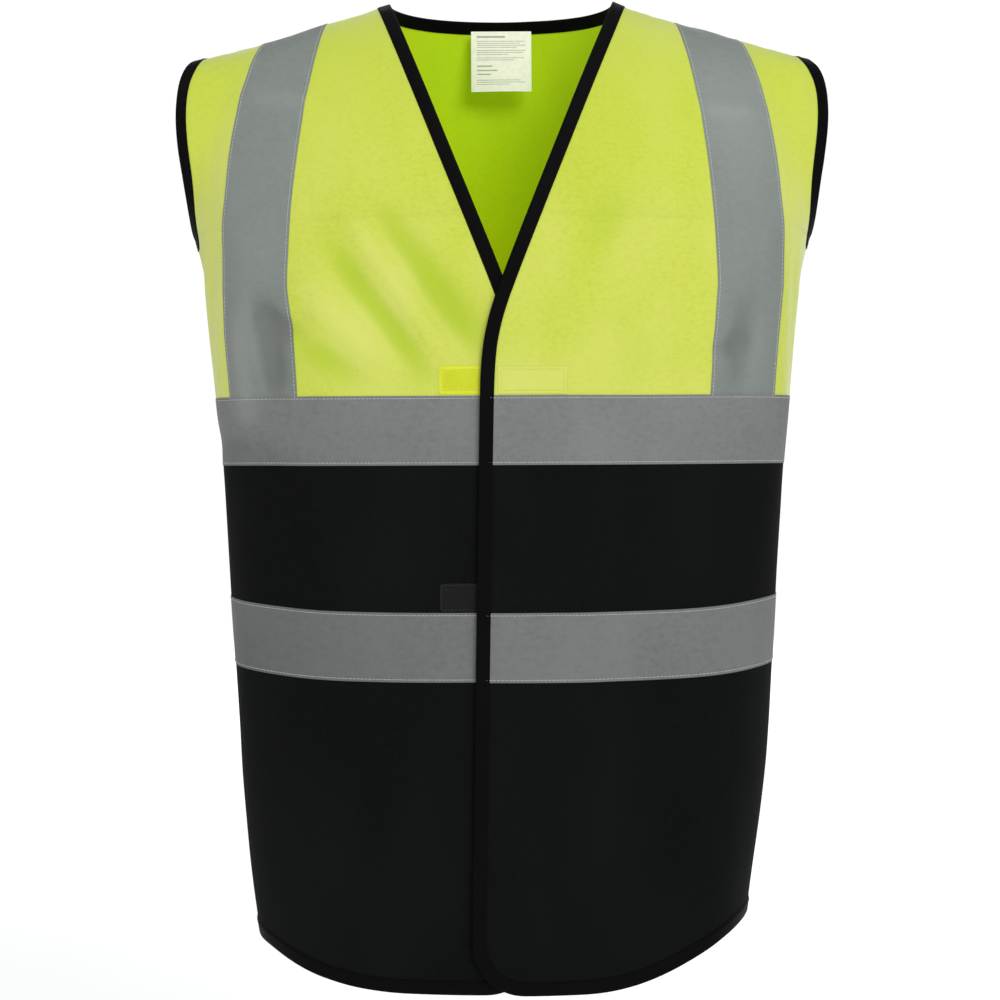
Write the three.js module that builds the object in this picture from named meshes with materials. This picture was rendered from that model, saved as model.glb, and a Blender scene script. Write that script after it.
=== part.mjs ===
// High visibility vest, two-tone, with hook-and-loop front closure.
// Millimetres, +Z up, the wearer faces -Y and the wearer's left side is +X.
// The origin is between the two points where the shoulder seams meet the neck,
// which is where the garment hangs on its wearer.
//
// Every piece is cut from one of two surfaces, a front and a back, that meet at the side seams
// and the shoulder seams. A surface point has two coordinates: `across`, from 0 at the side seam
// or armhole to 1 at the front edge or centre back, and `row`, from 0 at the hem upwards.
import * as THREE from 'three';

// ---- driving dimensions ----
const HEM_Z = -732;            // lowest point of the hem, at centre front
const CHEST_Z = -222;          // height where the body turns in towards the shoulders
const V_FOOT_Z = -254;         // height where the neck's V runs out into the front edge
const TAPE = 50;               // width of the reflective tape
const UPPER_BAND_Z = -351;     // lower edge of the upper band
const LOWER_BAND_Z = -507;     // lower edge of the lower band
const COLOUR_SEAM_Z = -341;    // yellow to black seam, hidden under the upper band
const NECK = { x: 85, z: -4 };           // where the shoulder seam meets the neck
const SHOULDER_TIP = { x: 224, z: -49 }; // where the shoulder seam meets the armhole
const BACK_NECK_DEPTH = 68;
const BACK_NECK_DIP = 4;       // how far the back neck lies below the shoulder seams
const OVERLAP = 15;            // how far each front runs past the centre at the chest
const HEM_OVERLAP = 24;
const CORNER_RADIUS = 38;      // rounded lower corner of each front
const ARMHOLE_FORWARD = 66;    // how far the armhole's edge bows forward or back
const ARMHOLE_OUTWARD = 14.5;    // how far it flares out below the shoulder

// ---- thicknesses and clearances ----
const CLOTH = 1.0;
const TAPE_THICK = 0.7;
const BINDING_LEAF = 0.8;
const BINDING_WIDTH = 9;
const GAP = 0.4;
const SLOT_GAP = 1.1;          // room between the cloth and the binding folded round it
const SEAM_HALF_GAP = 0.3;
const CLOSURE_STEP = 5.4;      // how far the overlapping front lies in front of the other

// ---- shape of the body, by height ----
const along = (heights, values) => {
  const curve = new THREE.CubicInterpolant(heights, values, 1, new Float64Array(1));
  return z => curve.evaluate(THREE.MathUtils.clamp(z, heights[0], heights.at(-1)))[0];
};
const halfWidth = along([-732, -660, -570, -500, -420, -320, -222], [173, 184, 189.5, 192.5, 201.5, 205.5, 218.5]);
const frontDepth = along([-732, -560, -400, -222], [104, 110, 112, 105]);
const backDepth = along([-732, -560, -400, -222], [98, 96, 92, 98]);
const FRONT_SQUARENESS = 3.6;
const BACK_SQUARENESS = 3.0;

// A point on the unit superellipse in the direction of an angle.
function squircle(angle, power) {
  const c = Math.cos(angle);
  const s = Math.sin(angle);
  const k = (Math.abs(c) ** power + Math.abs(s) ** power) ** (1 / power);
  return [c / k, s / k];
}
// The angle of the superellipse point at `share` of the half width.
const angleAt = (share, power) => Math.atan2((1 - Math.abs(share) ** power) ** (1 / power), share);

// Straight lines between pairs of [position, value].
function steps(pairs, t) {
  let k = 1;
  while (k < pairs.length - 1 && t > pairs[k][0]) k += 1;
  const [t0, v0] = pairs[k - 1];
  const [t1, v1] = pairs[k];
  return v0 + (v1 - v0) * (t - t0) / (t1 - t0);
}

// ---- rows: heights below the chest, then turns of the shoulder above it ----
const BIND_INSET = BINDING_WIDTH + 0.5;
const LOWER_ROWS = [
  { z: HEM_Z, lift: 35 },
  { z: HEM_Z + BIND_INSET, lift: 35 },
  { z: HEM_Z + 26, lift: 34 },
  { z: HEM_Z + 60, lift: 28 },
  { z: HEM_Z + 115, lift: 19 },
  { z: HEM_Z + 168, lift: 14 },
  { z: LOWER_BAND_Z, lift: 9 },
  { z: LOWER_BAND_Z + TAPE, lift: 9 },
  { z: (LOWER_BAND_Z + TAPE + UPPER_BAND_Z) / 2, lift: 4 },
  { z: UPPER_BAND_Z, lift: 0 },
  { z: COLOUR_SEAM_Z, lift: 0 },
  { z: UPPER_BAND_Z + TAPE, lift: 0 },
  { z: (UPPER_BAND_Z + TAPE + CHEST_Z) / 2, lift: 0 },
  { z: CHEST_Z, lift: 0 },
];
const TURNS = [0.15, 0.27, 0.4, 0.53, 0.66, 0.79, 0.91, 1]; // shares of the turn over the shoulder
const CHEST_ROW = LOWER_ROWS.length - 1;
const TOP_ROW = CHEST_ROW + TURNS.length;
const UNDERARM_ROW = CHEST_ROW + 1;
const ROW = { lowerBand: 6, lowerBandTop: 7, upperBand: 9, colourSeam: 10, upperBandTop: 11 };
const ROWS = Array.from({ length: TOP_ROW + 1 }, (_, r) => r);

const lowerRow = (row, key) => steps(LOWER_ROWS.map((station, r) => [r, station[key]]), row);
const turnOf = row => steps([0, ...TURNS].map((turn, k) => [CHEST_ROW + k, turn]), row);

// ---- columns: the brace's edges keep their share of the half width ----
const BRACE_OUTER = 0.32;
const BRACE_INNER = 0.52;
const FRONT_BRACE_SHARES = [0.94, 0.715];
const BACK_BRACE_SHARES = [0.86, 0.64];
const NECK_ACROSS = 0.7;       // on the back, where the shoulder seam meets the neck

const SHOULDER_X = [[0, SHOULDER_TIP.x], [BRACE_OUTER, 178], [BRACE_INNER, 130]];
const shoulderZ = x => NECK.z + (x - NECK.x) * (SHOULDER_TIP.z - NECK.z) / (SHOULDER_TIP.x - NECK.x);

// The front edge: straight down from the hem overlap to the chest, then up the neck's V.
function frontEdgeX(z) {
  const slope = (NECK.x + OVERLAP) / (NECK.z - V_FOOT_Z);
  const softness = 13;
  const bend = slope * softness * Math.log1p(Math.exp((z - V_FOOT_Z) / softness));
  const drift = THREE.MathUtils.clamp((V_FOOT_Z - z) / (V_FOOT_Z - HEM_Z), 0, 1);
  return -OVERLAP - (HEM_OVERLAP - OVERLAP) * drift + bend;
}
// The straight line from the front edge at the chest to the neck.
const CHEST_EDGE_X = frontEdgeX(CHEST_Z);
const straightNeckX = z => CHEST_EDGE_X + (NECK.x - CHEST_EDGE_X) * (z - CHEST_Z) / (NECK.z - CHEST_Z);

const sides = {
  front: {
    facing: -1,
    squareness: FRONT_SQUARENESS,
    depth: frontDepth,
    braceShares: FRONT_BRACE_SHARES,
    lastShare: z => frontEdgeX(z) / halfWidth(z),
    top(across) {
      const x = steps([...SHOULDER_X, [1, NECK.x]], across);
      return { x, y: 0, z: shoulderZ(x), fullTurn: Math.PI / 2 };
    },
    power: across => steps([[0, 1.2], [BRACE_OUTER, 2.0], [BRACE_INNER, 1.7], [1, 1]], across),
  },
  back: {
    facing: 1,
    squareness: BACK_SQUARENESS,
    depth: backDepth,
    braceShares: BACK_BRACE_SHARES,
    lastShare: () => 0,
    top(across) {
      if (across <= NECK_ACROSS) {
        const x = steps([...SHOULDER_X, [NECK_ACROSS, NECK.x]], across);
        return { x, y: 0, z: shoulderZ(x), fullTurn: Math.PI / 2 };
      }
      const angle = (across - NECK_ACROSS) / (1 - NECK_ACROSS) * Math.PI / 2;
      return {
        x: NECK.x * Math.cos(angle),
        y: BACK_NECK_DEPTH * Math.sin(angle),
        z: NECK.z - BACK_NECK_DIP * Math.sin(angle),
        fullTurn: Math.PI / 2 - 0.65 * Math.sin(angle),
      };
    },
    power: () => 1.3,
  },
};

// Rounds the front's lower corner: a square about the arc's centre becomes an arc.
function roundCorner(point) {
  const centre = { x: CORNER_RADIUS - HEM_OVERLAP, z: HEM_Z + CORNER_RADIUS };
  const beside = centre.x - point.x;
  const below = centre.z - point.z;
  if (beside <= 0 || below <= 0) return;
  const shrink = Math.max(beside, below) / Math.hypot(beside, below);
  point.x = centre.x - beside * shrink;
  point.z = centre.z - below * shrink;
}

function lowerPoint(side, across, row) {
  const z0 = lowerRow(row, 'z');
  const [outer, inner] = side.braceShares.map(share => angleAt(share, side.squareness));
  const last = angleAt(side.lastShare(z0), side.squareness);
  const angle = steps([[0, 0], [BRACE_OUTER, outer], [BRACE_INNER, inner], [1, last]], across);
  const [c, s] = squircle(angle, side.squareness);
  const z = z0 + lowerRow(row, 'lift') * Math.abs(c) ** 4;
  return new THREE.Vector3(halfWidth(z) * c, side.facing * side.depth(z) * s, z);
}

function upperPoint(side, across, row) {
  const base = lowerPoint(side, across, CHEST_ROW);
  const top = side.top(across);
  const turn = turnOf(row);
  const angle = top.fullTurn * turn;
  const rise = Math.sin(angle) / Math.sin(top.fullTurn);
  const hold = (Math.cos(angle) - Math.cos(top.fullTurn)) / (1 - Math.cos(top.fullTurn));
  const point = new THREE.Vector3(
    base.x + (top.x - base.x) * rise ** side.power(across),
    top.y + (base.y - top.y) * hold,
    base.z + (top.z - base.z) * rise,
  );
  // The armhole flares outwards and bows away from the side; its pull fades across the panel.
  const open = THREE.MathUtils.clamp((turn - TURNS[0]) / (1 - TURNS[0]), 0, 1);
  const flare = Math.sin(Math.PI * turn) * (1 + 0.5 * (1 - turn) ** 2);
  point.x += ARMHOLE_OUTWARD * flare * (1 - across) ** 5;
  point.y += side.facing * ARMHOLE_FORWARD * Math.sin(Math.PI * open) ** 0.6 * (1 - across) ** 3;
  // The neck edge keeps the soft bend of the front edge.
  if (side === sides.front) point.x += (frontEdgeX(point.z) - straightNeckX(point.z)) * across ** 6;
  return point;
}

function surfacePoint(side, across, row) {
  const point = row <= CHEST_ROW ? lowerPoint(side, across, row) : upperPoint(side, across, row);
  point.y += side.facing * SEAM_HALF_GAP;
  return point;
}

// ---- grids: one column of each lies a binding's width in from the edges ----
// The place across a row that is `distance` from its start.
function acrossAt(side, row, distance, from = 0) {
  const direction = from === 0 ? 1 : -1;
  const pace = 0.002;
  let travelled = 0;
  let across = from;
  let last = surfacePoint(side, across, row);
  while (travelled < distance) {
    across += direction * pace;
    const next = surfacePoint(side, across, row);
    travelled += next.distanceTo(last);
    last = next;
  }
  return across;
}

const between = (from, to, count) =>
  Array.from({ length: count }, (_, k) => from + (to - from) * (k + 1) / (count + 1));

function frontColumns(row) {
  const first = acrossAt(sides.front, row, BIND_INSET);
  const last = acrossAt(sides.front, row, BIND_INSET, 1);
  return [
    0, first, ...between(first, BRACE_OUTER, 3), BRACE_OUTER, (BRACE_OUTER + BRACE_INNER) / 2, BRACE_INNER,
    ...between(BRACE_INNER, last, 4), last, 1,
  ];
}
const COLUMN = { braceOuter: 5, braceInner: 7, nearEdge: 12, edge: 13 };

function backColumns(row) {
  const first = acrossAt(sides.back, row, BIND_INSET);
  return [
    0, first, ...between(first, BRACE_OUTER, 3), BRACE_OUTER, (BRACE_OUTER + BRACE_INNER) / 2, BRACE_INNER,
    (BRACE_INNER + NECK_ACROSS) / 2, NECK_ACROSS, ...between(NECK_ACROSS, 1, 3), 1,
  ];
}
const NECK_COLUMN = 9;
const CENTRE_COLUMN = 13;

// The way the cloth's outer face looks at a place on the surface.
function surfaceNormal(side, across, row) {
  const e = 0.004;
  const [a0, a1] = [Math.max(across - e, 0), Math.min(across + e, 1)];
  const [r0, r1] = [Math.max(row - 8 * e, 0), Math.min(row + 8 * e, TOP_ROW)];
  const u = surfacePoint(side, a1, row).sub(surfacePoint(side, a0, row));
  const v = surfacePoint(side, across, r1).sub(surfacePoint(side, across, r0));
  return u.cross(v).multiplyScalar(side.facing).normalize();
}

// A grid node: its place on the outer face of the cloth and the way the cloth faces there.
const gridOf = (side, rows, columnsOf) => rows.map(row => columnsOf(row).map(across => {
  const place = surfacePoint(side, across, row);
  if (side === sides.front) roundCorner(place);
  return { place, normal: surfaceNormal(side, across, row) };
}));

// The front that overlaps lies a little forward of the other round the centre.
function stepForward(grid) {
  return grid.map(line => line.map(({ place, normal }) => {
    const near = THREE.MathUtils.smoothstep(-place.x, -92, -48);
    return { place: place.clone().addScaledVector(normal, CLOSURE_STEP * near), normal };
  }));
}
const mirrorX = vector => new THREE.Vector3(-vector.x, vector.y, vector.z);
const mirrored = grid => grid.map(line =>
  line.map(({ place, normal }) => ({ place: mirrorX(place), normal: mirrorX(normal) })));

const frontGrid = gridOf(sides.front, ROWS, frontColumns);
const leftFrontGrid = stepForward(frontGrid);
const rightFrontGrid = mirrored(frontGrid);
const halfBackGrid = gridOf(sides.back, ROWS, backColumns);
const otherHalfBackGrid = mirrored(halfBackGrid);
const backGrid = halfBackGrid.map((line, r) => [
  ...line,
  ...otherHalfBackGrid[r].slice(0, -1).reverse(),
]);
const BACK_LAST = 2 * CENTRE_COLUMN;

// ---- solids ----
function solid(vertices, triangles) {
  let volume = 0;
  for (const [a, b, c] of triangles) {
    volume += vertices[a].dot(vertices[b].clone().cross(vertices[c]));
  }
  const faces = volume > 0 ? triangles : triangles.map(([a, b, c]) => [a, c, b]);
  const geometry = new THREE.BufferGeometry();
  const numbers = vertices.flatMap(vertex => vertex.toArray());
  geometry.setAttribute('position', new THREE.Float32BufferAttribute(numbers, 3));
  geometry.setIndex(faces.flat());
  geometry.computeVertexNormals();
  return geometry;
}

// A sheet that follows a block of grid nodes, from `low` to `high` off the cloth's outer face.
function sheet(block, low, high) {
  const rows = block.length;
  const columns = block[0].length;
  const face = height => block.flatMap(line =>
    line.map(({ place, normal }) => place.clone().addScaledVector(normal, height)));
  const vertices = [...face(high), ...face(low)];
  const top = (r, c) => r * columns + c;
  const under = (r, c) => rows * columns + r * columns + c;
  const triangles = [];
  const quad = (a, b, c, d) => triangles.push([a, b, c], [a, c, d]);
  for (let r = 0; r < rows - 1; r += 1) {
    for (let c = 0; c < columns - 1; c += 1) {
      quad(top(r, c), top(r, c + 1), top(r + 1, c + 1), top(r + 1, c));
      triangles.push(
        [under(r, c), under(r + 1, c + 1), under(r, c + 1)],
        [under(r, c), under(r + 1, c), under(r + 1, c + 1)],
      );
    }
    quad(top(r, 0), top(r + 1, 0), under(r + 1, 0), under(r, 0));
    quad(top(r + 1, columns - 1), top(r, columns - 1), under(r, columns - 1), under(r + 1, columns - 1));
  }
  for (let c = 0; c < columns - 1; c += 1) {
    quad(top(0, c + 1), top(0, c), under(0, c), under(0, c + 1));
    quad(top(rows - 1, c), top(rows - 1, c + 1), under(rows - 1, c + 1), under(rows - 1, c));
  }
  return solid(vertices, triangles);
}

const block = (grid, rowFrom, rowTo, columnFrom, columnTo) =>
  grid.slice(rowFrom, rowTo + 1).map(line => line.slice(columnFrom, columnTo + 1));

// Draws a block's last or first row back, so that two pieces that meet there keep a gap.
function trimmed(nodes, { bottom = 0, top = 0, start = 0, end = 0 }) {
  const toward = (from, to, amount) => ({
    place: from.place.clone().add(to.place.clone().sub(from.place).setLength(amount)),
    normal: from.normal,
  });
  const lines = nodes.map(line => [...line]);
  const last = lines.length - 1;
  if (bottom) lines[0] = lines[0].map((node, c) => toward(node, nodes[1][c], bottom));
  if (top) lines[last] = lines[last].map((node, c) => toward(node, nodes[last - 1][c], top));
  return lines.map(line => {
    const end0 = line.length - 1;
    const out = [...line];
    if (start) out[0] = toward(line[0], line[1], start);
    if (end) out[end0] = toward(line[end0], line[end0 - 1], end);
    return out;
  });
}

// A binding folded round an edge: a channel whose two leaves lie either side of the cloth.
// Each step of the path has the edge's node and the node a binding's width inside it.
const CHANNEL = [
  { at: 'inside', height: SLOT_GAP },
  { at: 'inside', height: SLOT_GAP + BINDING_LEAF },
  { at: 'edge', beyond: SLOT_GAP + BINDING_LEAF, height: SLOT_GAP + BINDING_LEAF },
  { at: 'edge', beyond: SLOT_GAP + BINDING_LEAF, height: -CLOTH - SLOT_GAP - BINDING_LEAF },
  { at: 'inside', height: -CLOTH - SLOT_GAP - BINDING_LEAF },
  { at: 'inside', height: -CLOTH - SLOT_GAP },
  { at: 'edge', beyond: SLOT_GAP, height: -CLOTH - SLOT_GAP },
  { at: 'edge', beyond: SLOT_GAP, height: SLOT_GAP },
];
const CHANNEL_CAP = [[0, 1, 2, 7], [7, 2, 3, 6], [6, 3, 4, 5]];
// Along the back neck the roll of the binding stands on the cloth's edge.
const ROLL_FOOT = 1;
const ROLL_TOP = 3.6;
const ROLL = [
  { at: 'edge', beyond: ROLL_FOOT, height: GAP },
  { at: 'edge', beyond: ROLL_TOP, height: GAP },
  { at: 'edge', beyond: ROLL_TOP, height: -CLOTH - GAP },
  { at: 'edge', beyond: ROLL_FOOT, height: -CLOTH - GAP },
];
const ROLL_CAP = [[0, 1, 2, 3]];

function ringOf(section, { edge, inside }) {
  const distance = edge.place.distanceTo(inside.place);
  const outward = edge.place.clone().sub(inside.place).normalize();
  const inner = {
    place: edge.place.clone().addScaledVector(outward, -BINDING_WIDTH),
    normal: edge.normal.clone().lerp(inside.normal, BINDING_WIDTH / distance).normalize(),
  };
  return section.map(({ at, beyond = 0, height }) => {
    const node = at === 'edge' ? edge : inner;
    return node.place.clone().addScaledVector(outward, beyond).addScaledVector(node.normal, height);
  });
}

// The cells of the channel are cut corner to corner in the same direction as the cloth's cells:
// `leaning` is true where the cut runs from an edge node to the next inside node.
function binding(path, leaning, section = CHANNEL, cap = CHANNEL_CAP) {
  const size = section.length;
  const end = (path.length - 1) * size;
  const triangles = [];
  const quad = (a, b, c, d) => triangles.push([a, b, c], [a, c, d]);
  for (let ring = 0; ring < end; ring += size) {
    for (let p = 0; p < size; p += 1) {
      const q = (p + 1) % size;
      const cut = section[p].at === 'edge';
      if (cut === leaning) quad(ring + p, ring + q, ring + size + q, ring + size + p);
      else quad(ring + q, ring + size + q, ring + size + p, ring + p);
    }
  }
  for (const [a, b, c, d] of cap) {
    quad(d, c, b, a);
    quad(end + a, end + b, end + c, end + d);
  }
  return solid(path.flatMap(step => ringOf(section, step)), triangles);
}

// ---- edge paths ----
const ARMHOLE_END_GAP = 4;     // between the two armhole bindings' lower ends and the underarm
const NECK_END_GAP = 2;
const columnPath = (grid, rows, edge, inside) =>
  rows.map(r => ({ edge: grid[r][edge], inside: grid[r][inside] }));

// Pulls the ends of a binding's path in, so that neighbours keep a gap.
function shortened(path, first, last) {
  const slide = (from, to, amount) => {
    const shift = to.edge.place.clone().sub(from.edge.place).setLength(amount);
    const moved = node => ({ place: node.place.clone().add(shift), normal: node.normal });
    return { edge: moved(from.edge), inside: moved(from.inside) };
  };
  const out = [...path];
  const end = path.length - 1;
  if (first) out[0] = slide(path[0], path[1], first);
  if (last) out[end] = slide(path[end], path[end - 1], last);
  return out;
}

// Down the neck and the front edge, round the corner, and along the hem to the side seam.
function frontBindingPath(grid) {
  const down = ROWS.slice(1).reverse();
  const hemColumns = Array.from({ length: COLUMN.edge }, (_, c) => COLUMN.edge - 1 - c);
  return [
    ...columnPath(grid, down, COLUMN.edge, COLUMN.nearEdge),
    { edge: grid[0][COLUMN.edge], inside: grid[1][COLUMN.nearEdge] },
    ...hemColumns.map(c => ({ edge: grid[0][c], inside: grid[1][c] })),
  ];
}
const armholeRows = ROWS.slice(UNDERARM_ROW);
const backHemPath = backGrid[0].map((edge, c) => ({ edge, inside: backGrid[1][c] }));
const neckColumns = Array.from({ length: BACK_LAST - 2 * NECK_COLUMN + 1 }, (_, k) => NECK_COLUMN + k);
// The neck's edge turns across the columns at the shoulder, so its binding lies square to the edge itself.
const neckEdge = neckColumns.map(c => backGrid[TOP_ROW][c]);
const neckPath = neckEdge.map((edge, k) => {
  const before = neckEdge[Math.max(k - 1, 0)].place;
  const after = neckEdge[Math.min(k + 1, neckEdge.length - 1)].place;
  const inward = after.clone().sub(before).cross(edge.normal).normalize();
  if (inward.dot(edge.place) < 0) inward.negate();
  const place = edge.place.clone().addScaledVector(inward, BINDING_WIDTH);
  return { edge, inside: { place, normal: edge.normal } };
});

// ---- small pieces ----
const PATCH = { length: 50, height: 20, thick: 1.1, start: 4, aboveBand: 1 };
const CARE_LABEL = { width: 47, height: 47, thick: 0.6, y: 61, top: -15 };

// A patch on a front, near its edge and just above a band. `x` runs from the centre outwards.
function patchNodes(grid, bandTop, side) {
  const bottom = bandTop + PATCH.aboveBand;
  const ends = [-PATCH.start, PATCH.length - PATCH.start];
  return [bottom, bottom + PATCH.height].map(z => ends.map(x => nodeAt(grid, x * side, z)));
}
// The grid's outer face is nearly flat round the centre: a place there comes from its nearest cell.
function nodeAt(grid, x, z) {
  const row = grid.findIndex(line => line[COLUMN.nearEdge].place.z > z);
  const [low, high] = [grid[row - 1], grid[row]];
  const [lowZ, highZ] = [low, high].map(line => line[COLUMN.nearEdge].place.z);
  const share = (z - lowZ) / (highZ - lowZ);
  const mix = c => low[c].place.clone().lerp(high[c].place, share);
  let c = COLUMN.edge;
  while (Math.abs(mix(c - 1).x - mix(COLUMN.edge).x) < Math.abs(x - mix(COLUMN.edge).x)) c -= 1;
  const [near, far] = [mix(c), mix(c - 1)];
  const place = near.clone().lerp(far, (x - near.x) / (far.x - near.x));
  return { place, normal: low[c].normal.clone().lerp(high[c].normal, share).normalize() };
}

const fabric = (colour, roughness = 0.9) =>
  new THREE.MeshStandardMaterial({ color: colour, roughness, metalness: 0 });
const materials = {
  yellow: fabric(0xd3e63c),
  black: fabric(0x141614),
  tape: new THREE.MeshStandardMaterial({ color: 0x7f8280, roughness: 0.55, metalness: 0.1 }),
  binding: fabric(0x0f1012, 0.8),
  fastener: fabric(0xc8dc28, 1),
  darkFastener: fabric(0x1c1a1b, 1),
  label: fabric(0xf2f1e2, 0.7),
};

const vest = new THREE.Group();
vest.name = 'high_visibility_vest';

function add(name, geometry, material) {
  const mesh = new THREE.Mesh(geometry, material);
  mesh.name = name;
  vest.add(mesh);
  return mesh;
}

// ---- cloth panels ----
function addPanels(name, grid, lastColumn) {
  const skirt = block(grid, 0, ROW.colourSeam, 0, lastColumn);
  const yoke = trimmed(block(grid, ROW.colourSeam, TOP_ROW, 0, lastColumn), { bottom: GAP });
  add(`${name}_skirt`, sheet(skirt, -CLOTH, 0), materials.black);
  add(`${name}_yoke`, sheet(yoke, -CLOTH, 0), materials.yellow);
}

// ---- reflective tape ----
const TAPE_FACE = [GAP, GAP + TAPE_THICK];
function addBands(name, grid, from, to, trim) {
  const upper = trimmed(block(grid, ROW.upperBand, ROW.upperBandTop, from, to), trim);
  const lower = trimmed(block(grid, ROW.lowerBand, ROW.lowerBandTop, from, to), trim);
  add(`${name}_upper_band`, sheet(upper, ...TAPE_FACE), materials.tape);
  add(`${name}_lower_band`, sheet(lower, ...TAPE_FACE), materials.tape);
}
function addBrace(name, grid, from, to) {
  const nodes = trimmed(block(grid, ROW.upperBandTop, TOP_ROW, from, to), { bottom: GAP });
  add(name, sheet(nodes, ...TAPE_FACE), materials.tape);
}

for (const [name, grid, side] of [['left_front', leftFrontGrid, 1], ['right_front', rightFrontGrid, -1]]) {
  addPanels(name, grid, COLUMN.edge);
  addBands(name, grid, 0, COLUMN.nearEdge, { end: GAP });
  addBrace(`${name}_brace`, grid, COLUMN.braceOuter, COLUMN.braceInner);
  add(`${name}_binding`, binding(shortened(frontBindingPath(grid), GAP, 0), true), materials.binding);
  const armhole = columnPath(grid, armholeRows, 0, 1);
  add(`${name}_armhole_binding`, binding(shortened(armhole, ARMHOLE_END_GAP, 0), true), materials.binding);
  const [kind, low] = side > 0 ? ['loop', -CLOTH - GAP - PATCH.thick] : ['hook', GAP];
  for (const [level, bandTop] of [['upper', UPPER_BAND_Z + TAPE], ['lower', LOWER_BAND_Z + TAPE]]) {
    const material = level === 'upper' ? materials.fastener : materials.darkFastener;
    add(`${level}_${kind}_patch`, sheet(patchNodes(grid, bandTop, side), low, low + PATCH.thick), material);
  }
}

addPanels('back', backGrid, BACK_LAST);
addBands('back', backGrid, 0, BACK_LAST, {});
const backBraces = [['back_left_brace', COLUMN.braceOuter, COLUMN.braceInner],
  ['back_right_brace', BACK_LAST - COLUMN.braceInner, BACK_LAST - COLUMN.braceOuter]];
for (const [name, from, to] of backBraces) addBrace(name, backGrid, from, to);
for (const [name, edge, inside] of [['back_left_armhole_binding', 0, 1],
  ['back_right_armhole_binding', BACK_LAST, BACK_LAST - 1]]) {
  const path = shortened(columnPath(backGrid, armholeRows, edge, inside), ARMHOLE_END_GAP, 0);
  add(name, binding(path, edge === 0), materials.binding);
}
add('back_hem_binding', binding(backHemPath, true), materials.binding);
const neckRoll = binding(shortened(neckPath, NECK_END_GAP, NECK_END_GAP), true, ROLL, ROLL_CAP);
add('back_neck_binding', neckRoll, materials.binding);

const labelShape = new THREE.BoxGeometry(CARE_LABEL.width, CARE_LABEL.thick, CARE_LABEL.height);
const label = add('care_label', labelShape, materials.label);
label.position.set(0, CARE_LABEL.y, CARE_LABEL.top - CARE_LABEL.height / 2);

export default vest;
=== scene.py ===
import math

import bmesh
import bpy
import numpy as np
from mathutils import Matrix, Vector, noise
from mathutils.bvhtree import BVHTree


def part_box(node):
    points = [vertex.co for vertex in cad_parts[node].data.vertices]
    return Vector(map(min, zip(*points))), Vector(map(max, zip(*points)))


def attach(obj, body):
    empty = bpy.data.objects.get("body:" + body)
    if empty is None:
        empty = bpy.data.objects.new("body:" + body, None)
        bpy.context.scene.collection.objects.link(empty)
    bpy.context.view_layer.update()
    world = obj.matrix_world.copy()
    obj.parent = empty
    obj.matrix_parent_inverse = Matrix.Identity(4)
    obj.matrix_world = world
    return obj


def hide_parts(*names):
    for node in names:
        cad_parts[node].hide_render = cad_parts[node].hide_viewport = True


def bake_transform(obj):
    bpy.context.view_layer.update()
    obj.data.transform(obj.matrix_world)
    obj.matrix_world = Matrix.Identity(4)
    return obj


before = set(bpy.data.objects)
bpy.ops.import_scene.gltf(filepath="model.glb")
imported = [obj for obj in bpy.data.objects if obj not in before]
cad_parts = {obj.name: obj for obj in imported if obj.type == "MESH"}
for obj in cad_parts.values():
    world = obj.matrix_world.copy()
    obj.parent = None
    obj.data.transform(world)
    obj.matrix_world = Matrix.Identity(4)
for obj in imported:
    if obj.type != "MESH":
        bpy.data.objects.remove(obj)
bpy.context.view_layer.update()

MM = 0.001
TURN = 2 * math.pi
MIRROR = [-1, 1, 1]
TINY = 1e-9

# ---------------------------------------------------------------- cut of the vest
# Two surfaces, a front and a back, meet at the side seams and the shoulder seams. A place on
# one is `across`, 0 at the side to 1 at the front edge or centre back, and `row`, from the hem up.
HEM_Z = -732 * MM
CHEST_Z = -222 * MM
V_FOOT_Z = -254 * MM
TAPE = 50 * MM
UPPER_BAND_Z = -351 * MM
LOWER_BAND_Z = -507 * MM
COLOUR_SEAM_Z = -341 * MM
NECK_X, NECK_Z = 85 * MM, -4 * MM
TIP_X, TIP_Z = 224 * MM, -49 * MM
BACK_NECK_DEPTH = 68 * MM
BACK_NECK_DIP = 4 * MM
OVERLAP = 15 * MM
HEM_OVERLAP = 24 * MM
CORNER_RADIUS = 38 * MM
HEM_DRAWN_UP = 12 * MM
ARMHOLE_FORWARD = 66 * MM
ARMHOLE_OUTWARD = 14.5 * MM
CLOSURE_STEP = 4.2 * MM

CLOTH_THICK = 0.55 * MM
TAPE_THICK = 0.35 * MM
BINDING_LEAF = 0.7 * MM
BINDING_WIDTH = 9.2 * MM
ARM_BINDING_WIDTH = 6.6 * MM
BIND_INSET = 10.4 * MM
BINDING_SEAM = 1.6 * MM
THREAD_RISE = 0.1 * MM

ROW_Z = [HEM_Z, HEM_Z + BIND_INSET, HEM_Z + 26 * MM, HEM_Z + 60 * MM, HEM_Z + 115 * MM, HEM_Z + 168 * MM,
         LOWER_BAND_Z, LOWER_BAND_Z + TAPE, (LOWER_BAND_Z + TAPE + UPPER_BAND_Z) / 2,
         UPPER_BAND_Z, COLOUR_SEAM_Z, UPPER_BAND_Z + TAPE,
         (UPPER_BAND_Z + TAPE + CHEST_Z) / 2, CHEST_Z]
ROW_LIFT = np.array([35, 35, 34, 28, 19, 14, 9, 9, 4, 0, 0, 0, 0, 0]) * MM
TURNS = [0, 0.15, 0.27, 0.4, 0.53, 0.66, 0.79, 0.91, 1]
CHEST_ROW = len(ROW_Z) - 1
TOP_ROW = CHEST_ROW + len(TURNS) - 1
UNDERARM_ROW = CHEST_ROW + 1
LOWER_BAND, UPPER_BAND, SEAM_ROW, UPPER_BAND_TOP = 6, 9, 10, 11

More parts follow.
